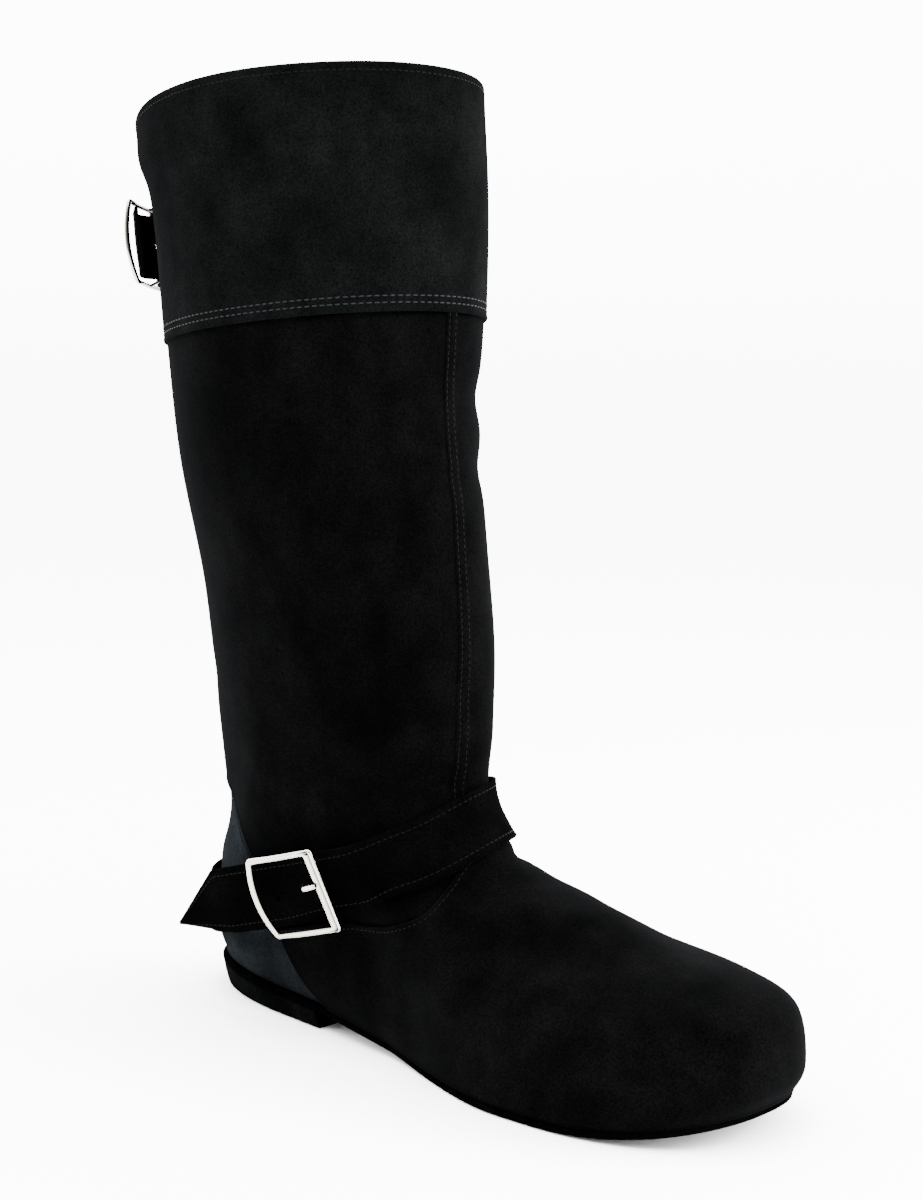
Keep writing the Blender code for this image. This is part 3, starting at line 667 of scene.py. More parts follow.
def suede_material(name, base, sheen, grain_mm=.8):
    """Suede: no gloss, dusty light at low angles, clouds where the nap lies different ways, fine grain, and
    painted shade along its seams.
    """
    material, tree, shader = new_material(name)
    clouds = spread(tree, noise(tree, 50.0), .5, 1.5)
    brushed = spread(tree, noise(tree, 12.0, 3.0), .7, 1.3)
    # Real nap is about 0.3 mm; drawn coarser, because finer grain would be lost between the picture's pixels
    grain = noise(tree, grain_mm)
    shade = times(tree, times(tree, clouds, brushed), spread(tree, grain, .5, 1.5))
    # Painted shade along its seams, where panels' edges meet: the colour falls so low that hardly any light
    # comes back
    part = times(tree, shade, by_painted_shade(tree, NAP_DEPTH, NAP_DEPTH * SEAM_SHADOW_SHARE))
    fill(tree, shader, {"Base Color": share_of(tree, base, part), "Normal": uneven(tree, grain, .5, .25),
                        "Sheen Weight": sheen, "Sheen Roughness": .4,
                        "Sheen Tint": bpy.context.scene.boot_colours.nap,
                        "Roughness": 1.0, "Specular IOR Level": 0.0})
    return material


def nickel_material(name, base):
    """Nickel plate: a mirror, very slightly uneven, darkened with painted shade in its groove and inside its
    bars.
    """
    material, tree, shader = new_material(name)
    fill(tree, shader, {"Base Color": share_of(tree, base, by_painted_shade(tree, 1.0, .03)),
                        "Normal": uneven(tree, noise(tree, 14.0), .3, .02),
                        "Metallic": 1.0, "Roughness": .14})
    return material


def plain_material(name, base, roughness, specular=.02):
    """A material of one colour with a little grain in its surface: thread, leather or lining."""
    material, tree, shader = new_material(name)
    fill(tree, shader, {"Base Color": base, "Normal": uneven(tree, noise(tree, 1.5), .3, .1),
                        "Roughness": roughness, "Specular IOR Level": specular})
    return material


# Materials, by the names of their colours: the real material's name, how it is made, and what that takes
MATERIALS = {
    # Black suede swallows nearly all light, so form shows mostly in its dusty edges
    "suede": ("black_suede_leather", suede_material, .018),
    # The straps' suede has a closer nap and looks deeper black
    "suede_strap": ("close_black_suede_leather", suede_material, .006),
    # The cuff's suede is brushed another way and gives back more light
    "suede_cuff": ("charcoal_suede_leather", suede_material, .012),
    # The counter's suede is bluer and paler still
    "suede_blue": ("blue_black_suede_leather", suede_material, .016),
    # Sole suede is rougher split leather: coarse grain, hardly any light at low angles; its edge is darker
    # than the heel's, partly its own black and partly painted shade of its recess under the upper
    "sole": ("rough_split_suede", suede_material, .004, 1.4),
    # Round the heel the same split leather is paler
    "heel": ("dusty_split_suede", suede_material, .006, 1.4),
    # Polyester thread: paler than the suede, each stitch catching a little light
    "thread": ("polyester_thread", plain_material, .6),
    # The same thread sunk deeper into the nap: hardly paler than the suede
    "thread_dark": ("sunken_polyester_thread", plain_material, .7),
    # Lining cloth inside: flat and dark
    "lining": ("lining_cloth", plain_material, .95),
    # Insole leather: smooth and dark brown
    "insole": ("insole_leather", plain_material, .7),
    # Polished nickel plate: mirror bright on top, with painted shade in its groove and on the sides turned to
    # the strap
    "nickel": ("polished_nickel_plate", nickel_material),
    # The black disc of a punched hole: painted shade where the hole's depth would be, no light comes back
    "hole": ("punched_hole_dark", plain_material, 1.0, 0.0),
}


def boot_material(key):
    """A material of the boot, made when it is first asked for."""
    name, make, *values = MATERIALS[key]
    base = getattr(bpy.context.scene.boot_colours, key)
    return bpy.data.materials.get(name) or make(name, base, *values)


def lip_rows(edge, columns, lip, side):
    """Rows over a panel's cut edge: levels and heights from under it, round it and onto the face."""
    per = level_step(edge, columns)
    return [(edge + side * inset / per, np.full(len(columns), depth * lip)) for inset, depth in LIP_PROFILE]


def panel_points(columns, low, high, out, lip, rows, high_lip=False):
    """Points and levels of a panel between two edges, its face off the form, with lips at its cut edges."""
    flat = np.zeros(len(columns))
    start = lip_rows(low, columns, lip, 1)
    end = lip_rows(high, columns, lip, -1)[::-1] if high_lip else [(high, flat)]
    first, last = start[-1][0], end[0][0]
    middle = [(first + (last - first) * t, flat) for t in np.linspace(0, 1, rows)[1:-1]]
    levels, heights = (np.array(part) for part in zip(*(start + middle + end)))
    return surface(levels, column_angle(columns, levels), out + heights), levels


def near(edge, levels, columns, reach):
    """How near points are to an edge, from 1 on it to nothing a few mm away."""
    return np.exp(-(np.abs(levels - edge) * level_step(levels, columns) / reach) ** 2)


def make_panel(name, columns, low, high, out, lip, rows, material, closed, nodes, slot, over=(),
               high_lip=False):
    """A panel of the upper, with painted shade along its lower edge and where other panels' edges lie over
    it.
    """
    points, levels = panel_points(columns, low, high, out, lip, rows, high_lip)
    seam = np.maximum.reduce([near(edge, levels, columns, SEAM_SHADE) for edge in (low, *over)])
    faces = grid_faces(len(points), len(columns), closed)
    make_piece(name, points, faces, material, nodes, slot, seam=seam)


def even_angles(count):
    """Angles all round the boot."""
    return np.arange(count) * 360.0 / count


def sole_outline(grow, angles):
    """The edge of the sole in plan, grown outwards."""
    step = 0.5
    here = bare_skin(0.0, angles)
    along = bare_skin(0.0, angles + step) - bare_skin(0.0, angles - step)
    outward = unit(np.stack([along[..., 1], -along[..., 0]], -1))
    return here[..., :2] + grow * outward


def capped_loops(loops):
    """Points and faces of a solid between loops, from its top to its bottom, with both ends closed."""
    return np.concatenate(loops), flipped(capped_faces(len(loops), len(loops[0])))


def strap_centre(line, column):
    """Level and angle at which a strap's middle line crosses a column."""
    angle = column * COLUMN_ANGLE
    low, high = 0.0, COLLAR_LEVEL
    for _ in range(LINE_HALVINGS):
        middle = (low + high) / 2
        x, y, z = bare_skin(middle, angle)
        sink = line.sway * (y - math.hypot(y, SWAY_ROUND)) / 2
        if z < line.level + line.slope * x + line.bend * (x / 100) ** 2 + sink:
            low = middle
        else:
            high = middle
    return np.array([low, angle])


def nearest(point, start):
    """Level and angle of the form's point nearest to a point in space, from a start close to it."""
    place = np.array(start, float)
    for _ in range(6):
        here = bare_skin(*place)
        up = (bare_skin(place[0] + .01, place[1]) - here) / .01
        along = (bare_skin(place[0], place[1] + .1) - here) / .1
        place += np.linalg.lstsq(np.column_stack([up, along]), point - here, rcond=None)[0]
    return place


# Shares of a strap's half width at which its inner face is worked out
ACROSS = np.array([-1.0, -.5, 0.0, .5, 1.0])


def strap_section(strap, column, rise):
    """Points across the strap's inner face, from lower to upper edge, and the way out of the form."""
    here = strap_centre(strap.line, column)
    ahead, behind = (bare_skin(*strap_centre(strap.line, column + step)) for step in (.2, -.2))
    middle = bare_skin(*here)
    out = normal_at(*here)
    across = unit(np.cross(ahead - behind, out))
    across *= math.copysign(1, across[2])
    height = STRAP_REST + rise * (strap.raised - STRAP_REST)
    points = []
    for side in ACROSS:
        goal = abs(side) * strap.line.half_width
        reach = goal
        for _ in range(3 if goal else 1):
            edge = nearest(middle + math.copysign(reach, side) * across, here)
            reach *= goal / max(np.linalg.norm(bare_skin(*edge) - middle), 1)
        points.append(skin(*edge, height))
    return np.array(points), out


def turned(first, second, degrees):
    """Two axes turned in their own plane, the first towards the second."""
    c, s = math.cos(math.radians(degrees)), math.sin(math.radians(degrees))
    return first * c + second * s, second * c - first * s


def tail_frame(strap):
    """Axes of the straight free end: along it to the tip, across it and out of the boot."""
    step = 1 if strap.leave > strap.start else -1
    last, outward = strap_section(strap, strap.leave, 1.0)
    rise = smooth((strap.leave - step - strap.rise) / (strap.leave - strap.rise))
    before = strap_section(strap, strap.leave - step, float(rise))[0]
    across = unit(last[-1] - last[0])
    along = last[2] - before[2]
    along = unit(along - across * (along @ across))
    out = np.cross(along, across)
    out *= math.copysign(1, out @ outward)
    along, across = turned(along, across, strap.turn)
    along, out = turned(along, out, strap.splay)
    across, out = turned(across, out, strap.lean)
    return Frame(last[2], along, across, out)


def strap_sections(place):
    """A strap's sections round the form and along its free end: inner face points and ways out."""
    strap = STRAPS[place]
    step = STRAP_STEP if strap.leave > strap.start else -STRAP_STEP
    tail = tail_frame(strap)
    half = strap.line.half_width
    inner, outward, run = [], [], []
    for column in np.arange(strap.start, strap.leave + step / 2, step):
        rise = smooth((column - strap.rise) / (strap.leave - strap.rise))
        points, out = strap_section(strap, column, float(rise))
        # The last part of the way round eases into the free end's own plane
        back = np.linalg.norm(points[2] - tail.origin)
        ease = float(smooth(1 - back / TAIL_BLEND))
        straight = tail.origin - back * tail.along + half * ACROSS[:, None] * tail.across
        inner.append(points + ease * (straight - points))
        outward.append(unit(out + ease * (tail.out - out)))
        run.append(-back)
    tip = -half * (1 - TIP_REACH)
    for distance in np.linspace(TAIL_STEP, strap.tail, int(strap.tail / TAIL_STEP)):
        narrow = 1 - (1 - TIP_BLUNT) * np.clip((distance - strap.tail + strap.tip) / strap.tip, 0, 1)
        widening = smooth((distance - SPREAD_START) / SPREAD_LENGTH)
        wider = TAIL_SPREAD[place] * widening * np.minimum(ACROSS, 0)
        reach = tip + (ACROSS * half + wider - tip) * narrow
        inner.append(tail.origin + distance * tail.along + reach[:, None] * tail.across)
        outward.append(tail.out)
        run.append(distance)
    inner, outward = np.array(inner), np.array(outward)
    swell = BUCKLE_SWELL[place] * np.exp(-((np.array(run) - strap.buckle_at) / SWELL_LENGTH) ** 2)
    return inner + swell[:, None, None] * outward[:, None], outward, tail


def smoothed(rows, factor):
    """Rows of points with more rows between them, on smooth curves."""
    rows = np.asarray(rows, float)
    ends = extended(rows)
    four = ends[:-3], ends[1:-2], ends[2:-1], ends[3:]
    parts = [curve_between(*four, t) for t in np.arange(factor) / factor]
    return np.concatenate([np.stack(parts, 1).reshape((-1,) + rows.shape[1:]), rows[-1:]])


# A strap's section, anticlockwise from the inner face: share across it and share of its thickness
STRAP_OUTLINE = [(-.97, 0), (-.5, 0), (0, 0), (.5, 0), (.97, 0), (1, .2), (1, .62), (.985, .86), (.94, .98),
                 (.86, .95), (.77, .9), (.7, .97), (.4, 1.06), (0, 1.1), (-.4, 1.06), (-.7, .97), (-.77, .9),
                 (-.86, .95), (-.94, .98), (-.985, .86), (-1, .62), (-1, .2)]


def line_along(inner, share):
    """Line along a strap's inner face, at a share of the half width from its middle."""
    spot = (share + 1) * 2
    j = int(min(spot, 3))
    return inner[:, j] + (inner[:, j + 1] - inner[:, j]) * (spot - j)


def make_strap(place, material):
    """A strap with rounded edges, dented along its rows of stitches."""
    inner, outward, _ = strap_sections(place)
    inner, outward = smoothed(inner, 3), unit(smoothed(outward, 3))
    points = [line_along(inner, share) + STRAP_THICKNESS * height * outward
              for share, height in STRAP_OUTLINE]
    faces = capped_faces(len(inner), len(points))
    if STRAPS[place].leave < STRAPS[place].start:
        faces = flipped(faces)
    make_piece(place + "_strap_suede", np.stack(points, 1), faces, material, [place + "_strap"],
               "black_suede")


def frame_matrix(tail, distance, up=0.0):
    """Placement on the free end's inner face in mm: x back along it to the front bar, y across, z out."""
    spot = tail.origin + distance * tail.along + up * tail.across
    y_axis = np.cross(tail.out, -tail.along)
    return np.column_stack([-tail.along, y_axis, tail.out, spot])


def placed(matrix, points):
    """Points of a buckle's own axes, put on the strap."""
    return np.asarray(points, float) @ matrix[:, :3].T + matrix[:, 3]


def swept(path, sections):
    """Points and faces of a closed bar along a path: each section is a row of offsets across it and out."""
    path = np.asarray(path, float)
    before, after = np.roll(path, 1, 0), np.roll(path, -1, 0)
    before[0], after[-1] = path[0], path[-1]
    tangent = unit(after - before)
    up = np.array([0.0, 0.0, 1.0]) - tangent * tangent[:, 2:]
    up[np.abs(tangent[:, 2]) > .95] = np.array([1.0, 0.0, 0.0])
    up = unit(up)
    side = np.cross(tangent, up)
    points = path[:, None] + sections[..., :1] * side[:, None] + sections[..., 1:] * up[:, None]
    return points.reshape(-1, 3), flipped(capped_faces(len(path), sections.shape[1]))


def even_turns(count):
    """Turns round a circle, in radians."""
    return np.arange(count) * 2 * np.pi / count


def circle(count):
    """Points of a circle of radius one."""
    turn = even_turns(count)
    return np.column_stack([np.cos(turn), np.sin(turn)])


def rounded_loop(front, rear, half, corner):
    """A rounded rectangle, anticlockwise from the front end of its upper side."""
    rounds = []
    for x, y, start in ((front - corner, half - corner, 0), (rear + corner, half - corner, 90),
                        (rear + corner, corner - half, 180), (front - corner, corner - half, 270)):
        turn = np.radians(start + np.linspace(0, 90, 8))
        rounds.append(np.column_stack([x + corner * np.cos(turn), y + corner * np.sin(turn)]))
    loop = []
    for here, after in zip(rounds, rounds[1:] + rounds[:1]):
        share = np.linspace(0, 1, 16)[1:-1, None]
        loop += [here, here[-1] + (after[0] - here[-1]) * share]
    return np.concatenate(loop)


def buckle_frame(buckle, level):
    """Points, faces and painted shade of a buckle's frame, with a grooved front bar and a bowed rear bar."""
    half_length, half_width = BUCKLE_LENGTH / 2, BUCKLE_WIDTH / 2
    outer = rounded_loop(half_length, -half_length, half_width, BUCKLE_CORNER)
    inner = rounded_loop(half_length - buckle.front_bar, buckle.rear_bar - half_length,
                         half_width - buckle.side_bar, BUCKLE_INNER_CORNER)
    across, out = circle(36).T
    plan = inner[:, None] + (outer - inner)[:, None] * (across[:, None] + 1) / 2
    x, y = plan[..., 0], plan[..., 1]
    rear = smooth((-x - REAR_START) / REAR_RUN)
    front = smooth((x - half_length + buckle.front_bar + FRONT_RUN) / FRONT_RUN)
    hump = np.clip(1 - (y / half_width) ** 2, 0, 1)
    groove = front * np.exp(-((across - GROOVE_AT) / GROOVE_HALF) ** 2) * np.clip(out, 0, 1)
    arch = SIDE_BAR_ARCH * np.clip(1 - (x / half_length) ** 2, 0, 1) * (1 - rear)
    z = level + buckle.height * out * (1 + FRONT_RISE * front) - FRONT_GROOVE * groove + arch
    z += buckle.lift * rear * hump
    points = np.stack([x - buckle.bow * rear * hump, y, z], -1)
    inside = smooth((-across - INNER_SHADE[0]) / INNER_SHADE[1])
    inside = inside * smooth((TOP_SHADE[0] - out) / TOP_SHADE[1])
    under = smooth((-out - UNDER_SHADE[0]) / UNDER_SHADE[1])
    painted_shade = np.maximum(np.maximum(inside, under), groove)
    count = len(out)
    last = (len(points) - 1) * count
    ends = [(last + i, last + (i + 1) % count, (i + 1) % count, i) for i in range(count)]
    faces = list(grid_faces(len(points), count, True)) + ends
    return points.reshape(-1, 3), flipped(faces), np.ravel(painted_shade)


def centre_bar(buckle, level):
    """Points and faces of a buckle's centre bar, which drops under the strap between the side bars."""
    low = STRAP_THICKNESS - CENTRE_BAR_DROP
    side = (BUCKLE_WIDTH - buckle.side_bar) / 2
    # Along the strap, across it and out; the lower end stands nearer the front bar, where it is hidden
    path = [(0, side, level), (0, side - .9, level - 2.5), (0, side - 1.7, level - 4.3),
            (0, side - 1.9, level - 6), (0, side - 3.2, low), (6, 2.4 - side, low), (7, 1.2 - side, low + .9),
            (9, -side, level - 2.5), (9, -side, level)]
    path = smoothed(path, 3)
    return swept(path, np.tile(circle(10) * CENTRE_BAR_WIRE, (len(path), 1, 1)))


def prong_bar(strap):
    """Points and faces of a prong from its hole to the front bar, thinner towards its tip."""
    top = STRAP_THICKNESS + 2 * GAP + strap.buckle_out + 2 * BUCKLE_WIRE * FRONT_BAR_SWELL + PRONG_WIRE * .6
    rise = strap.buckle_at - strap.hole_at
    tip = BUCKLE_LENGTH / 2
    # Along the strap, across it and out: up through the hole, then over the front bar
    path = smoothed([(rise - .8, .8, -1.2), (rise - .2, .8, .9), (rise + 2.0, 1.0, 3.0),
                     (rise + 6, 1.4, top - .8), (tip - 4, 1.9, top), (tip - 1.6, 2.1, top + .1)], 4)
    count = len(path)
    taper = np.interp(np.arange(count), [0, count * .6, count - 3, count - 1], [1.15, 1.1, .95, .55])
    return swept(path, taper[:, None, None] * (circle(12) * (1.15, .9) * PRONG_WIRE))


def make_buckle(place, material):
    """Buckle frame with its dropped centre bar, and its prong."""
    strap, buckle = STRAPS[place], BUCKLES[place]
    tail = tail_frame(strap)
    level = STRAP_THICKNESS + GAP + strap.buckle_out + BUCKLE_WIRE * FRONT_BAR_SWELL
    points, faces, painted_shade = buckle_frame(buckle, level)
    bar_points, bar_faces = centre_bar(buckle, level)
    faces += [tuple(len(points) + i for i in face) for face in bar_faces]
    # The centre bar, low under the strap, is painted wholly in shade
    painted_shade = np.append(painted_shade, np.ones(len(bar_points)))
    matrix = frame_matrix(tail, strap.buckle_at, strap.buckle_up)
    points = placed(matrix, np.concatenate([points, bar_points]))
    make_piece(place + "_buckle_nickel", points, faces, material, [place + "_buckle"], "polished_nickel",
               NICKEL_SMOOTH, painted_shade)
    points, faces = prong_bar(strap)
    points = placed(frame_matrix(tail, strap.buckle_at), points)
    make_piece(place + "_prong_nickel", points, faces, material, [place + "_prong"], "polished_nickel",
               NICKEL_SMOOTH)


def make_holes(strap, material):
    """Punched holes in the strap's free end: sunk rims round a black middle of painted shade."""
    tail = tail_frame(strap)
    points, faces = [], []
    for along, up in ((0.0, 0.0), SPARE_HOLE):
        matrix = frame_matrix(tail, strap.hole_at + along, up)
        base = len(points)
        for radius, height in HOLE_RIM:
            ring = circle(HOLE_SIDES) * (HOLE_RADIUS * radius)
            heights = np.full(HOLE_SIDES, STRAP_THICKNESS * height)
            points += list(placed(matrix, np.column_stack([ring, heights])))
        faces += [tuple(base + i for i in face) for face in grid_faces(len(HOLE_RIM), HOLE_SIDES, True)]
        faces.append(tuple(range(len(points) - HOLE_SIDES, len(points))))
    make_piece("ankle_strap_holes", points, faces, material)


ROW_TREE = "Row along a line"


def node_group(name, inputs):
    """A geometry node tree with named inputs, its input sockets by name, and its output node."""
    tree = bpy.data.node_groups.new(name, "GeometryNodeTree")
    tree.interface.new_socket("Geometry", in_out="INPUT", socket_type="NodeSocketGeometry")
    tree.interface.new_socket("Geometry", in_out="OUTPUT", socket_type="NodeSocketGeometry")
    for label, kind in inputs.items():
        tree.interface.new_socket(label, in_out="INPUT", socket_type=kind)
    return tree, add(tree, "NodeGroupInput").outputs, add(tree, "NodeGroupOutput")


def even_vector(tree, value):
    """A vector with the same value three times."""
    return add(tree, "ShaderNodeCombineXYZ", {axis: value for axis in "XYZ"}).outputs["Vector"]


def row_nodes():
    """Small bars along lines on the surface: stitches that lie along it, or fibres that stand out of it."""
    kinds = {"Pitch": "Float", "Size": "Vector", "Stand": "Float", "Spread": "Float", "Seed": "Int",
             "Sides": "Int", "Rings": "Int", "Material": "Material"}
    tree, given, end = node_group(ROW_TREE, {name: "NodeSocket" + kind for name, kind in kinds.items()})
    line = add(tree, "GeometryNodeMeshToCurve", {"Mesh": given["Geometry"]})
    points = add(tree, "GeometryNodeResampleCurve", {"Curve": line.outputs[0], "Length": given["Pitch"]},
                 mode="LENGTH")
    out = add(tree, "GeometryNodeInputNamedAttribute", {"Name": "out"}, data_type="FLOAT_VECTOR")
    tangent = add(tree, "GeometryNodeInputTangent")
    along = add(tree, "FunctionNodeAlignRotationToVector", {"Vector": tangent.outputs["Tangent"]}, axis="X")
    upright = add(tree, "FunctionNodeAlignRotationToVector",
                  {"Rotation": along.outputs["Rotation"], "Vector": out.outputs["Attribute"]}, axis="Z",
                  pivot_axis="X")
    wander = add(tree, "FunctionNodeRandomValue", {"Seed": given["Seed"]}, data_type="FLOAT_VECTOR")
    tree.links.new(even_vector(tree, times(tree, given["Spread"], -1.0)), wander.inputs["Min"])
    tree.links.new(even_vector(tree, given["Spread"]), wander.inputs["Max"])
    stand = add(tree, "ShaderNodeCombineXYZ", {"Y": given["Stand"]})
    lean = add(tree, "ShaderNodeVectorMath", {0: wander.outputs["Value"], 1: stand.outputs["Vector"]},
               operation="ADD")
    turn = add(tree, "FunctionNodeEulerToRotation", {"Euler": lean.outputs["Vector"]})
    final = add(tree, "FunctionNodeRotateRotation",
                {"Rotation": upright.outputs["Rotation"], "Rotate By": turn.outputs["Rotation"]},
                rotation_space="LOCAL")
    bar = add(tree, "GeometryNodeMeshUVSphere",
              {"Segments": given["Sides"], "Rings": given["Rings"], "Radius": .5})
    smooth_bar = add(tree, "GeometryNodeSetShadeSmooth", {"Geometry": bar.outputs["Mesh"]})
    copies = add(tree, "GeometryNodeInstanceOnPoints",
                 {"Points": points.outputs["Curve"], "Instance": smooth_bar.outputs["Geometry"],
                  "Rotation": final.outputs["Rotation"], "Scale": given["Size"]})
    real = add(tree, "GeometryNodeRealizeInstances", {"Geometry": copies.outputs["Instances"]})
    painted = add(tree, "GeometryNodeSetMaterial",
                  {"Geometry": real.outputs["Geometry"], "Material": given["Material"]})
    fill(tree, end, {"Geometry": painted.outputs["Geometry"]})
    return tree


def make_rows(name, lines, values):
    """Bars along lines of points and ways out, grown by the row nodes and turned into a plain mesh."""
    mesh = bpy.data.meshes.new(name)
    points, ways, edges = [], [], []
    for line, out in lines:
        edges += [(len(points) + i, len(points) + i + 1) for i in range(len(line) - 1)]
        points += ((line + SHIFT) * MM).tolist()
        ways.append(np.broadcast_to(out, line.shape))
    mesh.from_pydata(points, edges, [])
    ways = np.concatenate(ways).ravel()
    mesh.attributes.new("out", "FLOAT_VECTOR", "POINT").data.foreach_set("vector", ways)
    piece = new_object(name, mesh)
    grow = piece.modifiers.new("rows", "NODES")
    grow.node_group = bpy.data.node_groups.get(ROW_TREE) or row_nodes()
    for item in grow.node_group.interface.items_tree:
        if item.in_out == "INPUT" and item.name in values:
            grow[item.identifier] = values[item.name]
    done = bpy.data.meshes.new_from_object(piece.evaluated_get(bpy.context.evaluated_depsgraph_get()))
    piece.modifiers.remove(grow)
    piece.data = done
    if not done.polygons:
        raise RuntimeError(name + " grew nothing")
    settle(piece, ())


def seam_angle(level):
    """Angle of the front seam's middle, which swings outwards down to the ankle strap."""
    return np.interp(level, SEAM_LEVELS, SEAM_ANGLES)


def surface_line(levels, angles, out):
    """Points and ways out of a line on the creased form."""
    return surface(levels, angles, out), normal_at(levels, angles)


def inset_line(levels, columns, inset, out):
    """A line on the creased form a little up or down the columns from an edge."""
    moved = levels + inset / level_step(levels, columns)
    return surface_line(moved, column_angle(columns, moved), out)


def round_line(level, inset, out):
    """A line all round the boot, a little up or down from a level."""
    columns = np.append(even_angles(ROW_POINTS), 360.0)
    return inset_line(np.full(len(columns), level), columns, inset, out)


def cuff_lines(sizes):
    """Two rows of stitches round the boot over the cuff's lower edge."""
    rows = (sizes.cuff_inset / MM, (sizes.cuff_inset + sizes.cuff_rows) / MM)
    return [round_line(CUFF_LEVEL, inset, CUFF_OUT) for inset in rows]


def seam_lines(sizes):
    """Rows of stitches under the collar's rim, along the front seam and along the vamp's edge."""
    lines = [round_line(COLLAR_LEVEL - RIM_DROP, -sizes.collar_inset / MM, CUFF_OUT)]
    seam = np.linspace(SEAM_LEVELS[0], CUFF_LEVEL - STITCH_UNDER, 90)
    middle = seam_angle(seam)
    turn = degree_step(seam, middle)
    for side in (-.5, .5):
        lines.append(surface_line(seam, middle + side * sizes.seam_rows / MM / turn, SHAFT_OUT + SEAM_OUT))
    edge = edge_levels(VAMP_TOP, VAMP_ROW)
    return lines + [inset_line(edge, VAMP_ROW, -sizes.vamp_inset / MM, VAMP_OUT)]


def strap_lines(place, inset):
    """Rows of stitches along a strap's two edges."""
    inner, outward, _ = strap_sections(place)
    share = 1 - inset / STRAPS[place].line.half_width
    lift = STRAP_THICKNESS * STITCH_HEIGHT * outward
    return [(line_along(inner, share * side) + lift, outward) for side in (-1, 1)]


class BOOT_OT_shaft(bpy.types.Operator):
    """Build the shaft's suede with its creases, and the raised strip of its front seam"""
    bl_idname = "boot.shaft"
    bl_label = "Build shaft"

    def execute(self, context):
        sizes, suede = context.scene.boot_sizes, boot_material("suede")
        angles = even_angles(COLUMNS)
        high = np.full(COLUMNS, CUFF_LEVEL + SHAFT_UNDER)
        over = (np.full(COLUMNS, CUFF_LEVEL), edge_levels(VAMP_TOP, angles))
        make_panel("shaft_suede", angles, edge_levels(SHAFT_EDGE, angles), high, SHAFT_OUT, sizes.lip / MM,
                   SHAFT_ROWS, suede, True, ["upper"], "black_suede", over)
        levels = np.linspace(STRIP_LOW, CUFF_LEVEL + STRIP_UNDER, SHAFT_ROWS)
        middle = seam_angle(levels)
        turn = degree_step(levels, middle)
        half = sizes.seam_rows / MM / 2 + STRIP_MARGIN
        section = [(way - half, height) for way, height in STRIP_PROFILE] + [(0.0, STRIP_MIDDLE)]
        section += [(half - way, height) for way, height in reversed(STRIP_PROFILE)]
        strip = [surface(levels, middle + offset / turn, SHAFT_OUT + SEAM_OUT * height)
                 for offset, height in section]
        faces = grid_faces(len(levels), len(section), False)
        make_piece("front_seam_suede", np.stack(strip, 1), faces, suede, (), "black_suede")
        return {"FINISHED"}


class BOOT_OT_vamp(bpy.types.Operator):
    """Build the vamp over the foot, with its stitched edge lying on the shaft"""
    bl_idname = "boot.vamp"
    bl_label = "Build vamp"

    def execute(self, context):
        sizes, suede = context.scene.boot_sizes, boot_material("suede")
        room = edge_levels(VAMP_TOP, VAMP_TRIAL) - edge_levels(VAMP_REAR, VAMP_TRIAL)
        start = float(VAMP_TRIAL[np.argmax(room > VAMP_LEAST)])
        angles = np.linspace(start, 360 - start, VAMP_COLUMNS)
        low, high = edge_levels(VAMP_REAR, angles), edge_levels(VAMP_TOP, angles)
        make_panel("vamp_suede", angles, low, high, VAMP_OUT, sizes.lip / MM, VAMP_ROWS, suede, False,
                   ["vamp"], "black_suede", high_lip=True)
        return {"FINISHED"}


class BOOT_OT_counter(bpy.types.Operator):
    """Build the counter panel round the heel, under the shaft's and vamp's edges"""
    bl_idname = "boot.counter"
    bl_label = "Build counter"

    def execute(self, context):
        sizes, suede = context.scene.boot_sizes, boot_material("suede_blue")
        end = float(COUNTER_TRIAL[np.argmax(edge_levels(COUNTER_TOP, COUNTER_TRIAL) < COUNTER_LEAST)])
        angles = np.linspace(-end, end, COUNTER_COLUMNS)
        low, high = np.zeros(COUNTER_COLUMNS), edge_levels(COUNTER_TOP, angles)
        over = (np.minimum(edge_levels(SHAFT_EDGE, angles), edge_levels(VAMP_REAR, angles)),)
        make_panel("counter_suede", angles, low, high, COUNTER_OUT, sizes.lip / MM, COUNTER_ROWS, suede,
                   False, ["counter"], "blue_black_suede", over)
        return {"FINISHED"}


class BOOT_OT_cuff(bpy.types.Operator):
    """Build the cuff with its proud lower edge and its rolled rim, and the lining inside"""
    bl_idname = "boot.cuff"
    bl_label = "Build cuff and lining"

    def execute(self, context):
        sizes = context.scene.boot_sizes
        angles = even_angles(COLUMNS)
        low = np.full(COLUMNS, CUFF_LEVEL)
        high = np.full(COLUMNS, COLLAR_LEVEL) - RIM_DROP
        points, _ = panel_points(angles, low, high, CUFF_OUT, sizes.cuff_lip / MM, CUFF_ROWS)
        rim = [surface(high + rise, angles, out) for rise, out in RIM_ROLL]
        grid = np.concatenate([points, np.array(rim)])
        faces = grid_faces(len(grid), COLUMNS, True)
        make_piece("cuff_suede", grid, faces, boot_material("suede_cuff"), ["cuff"], "blue_black_suede")
        # Rows of the lining lie closer up the shaft than in the foot
        levels = np.concatenate([np.linspace(0.1, 8, 30), np.linspace(8.2, COLLAR_LEVEL - .05, 40)])
        points = surface(levels[:, None], even_angles(LINING_COLUMNS)[None, :], -WALL)
        faces = flipped(grid_faces(len(levels), LINING_COLUMNS, True))
        make_piece("lining_cloth", points, faces, boot_material("lining"))
        return {"FINISHED"}


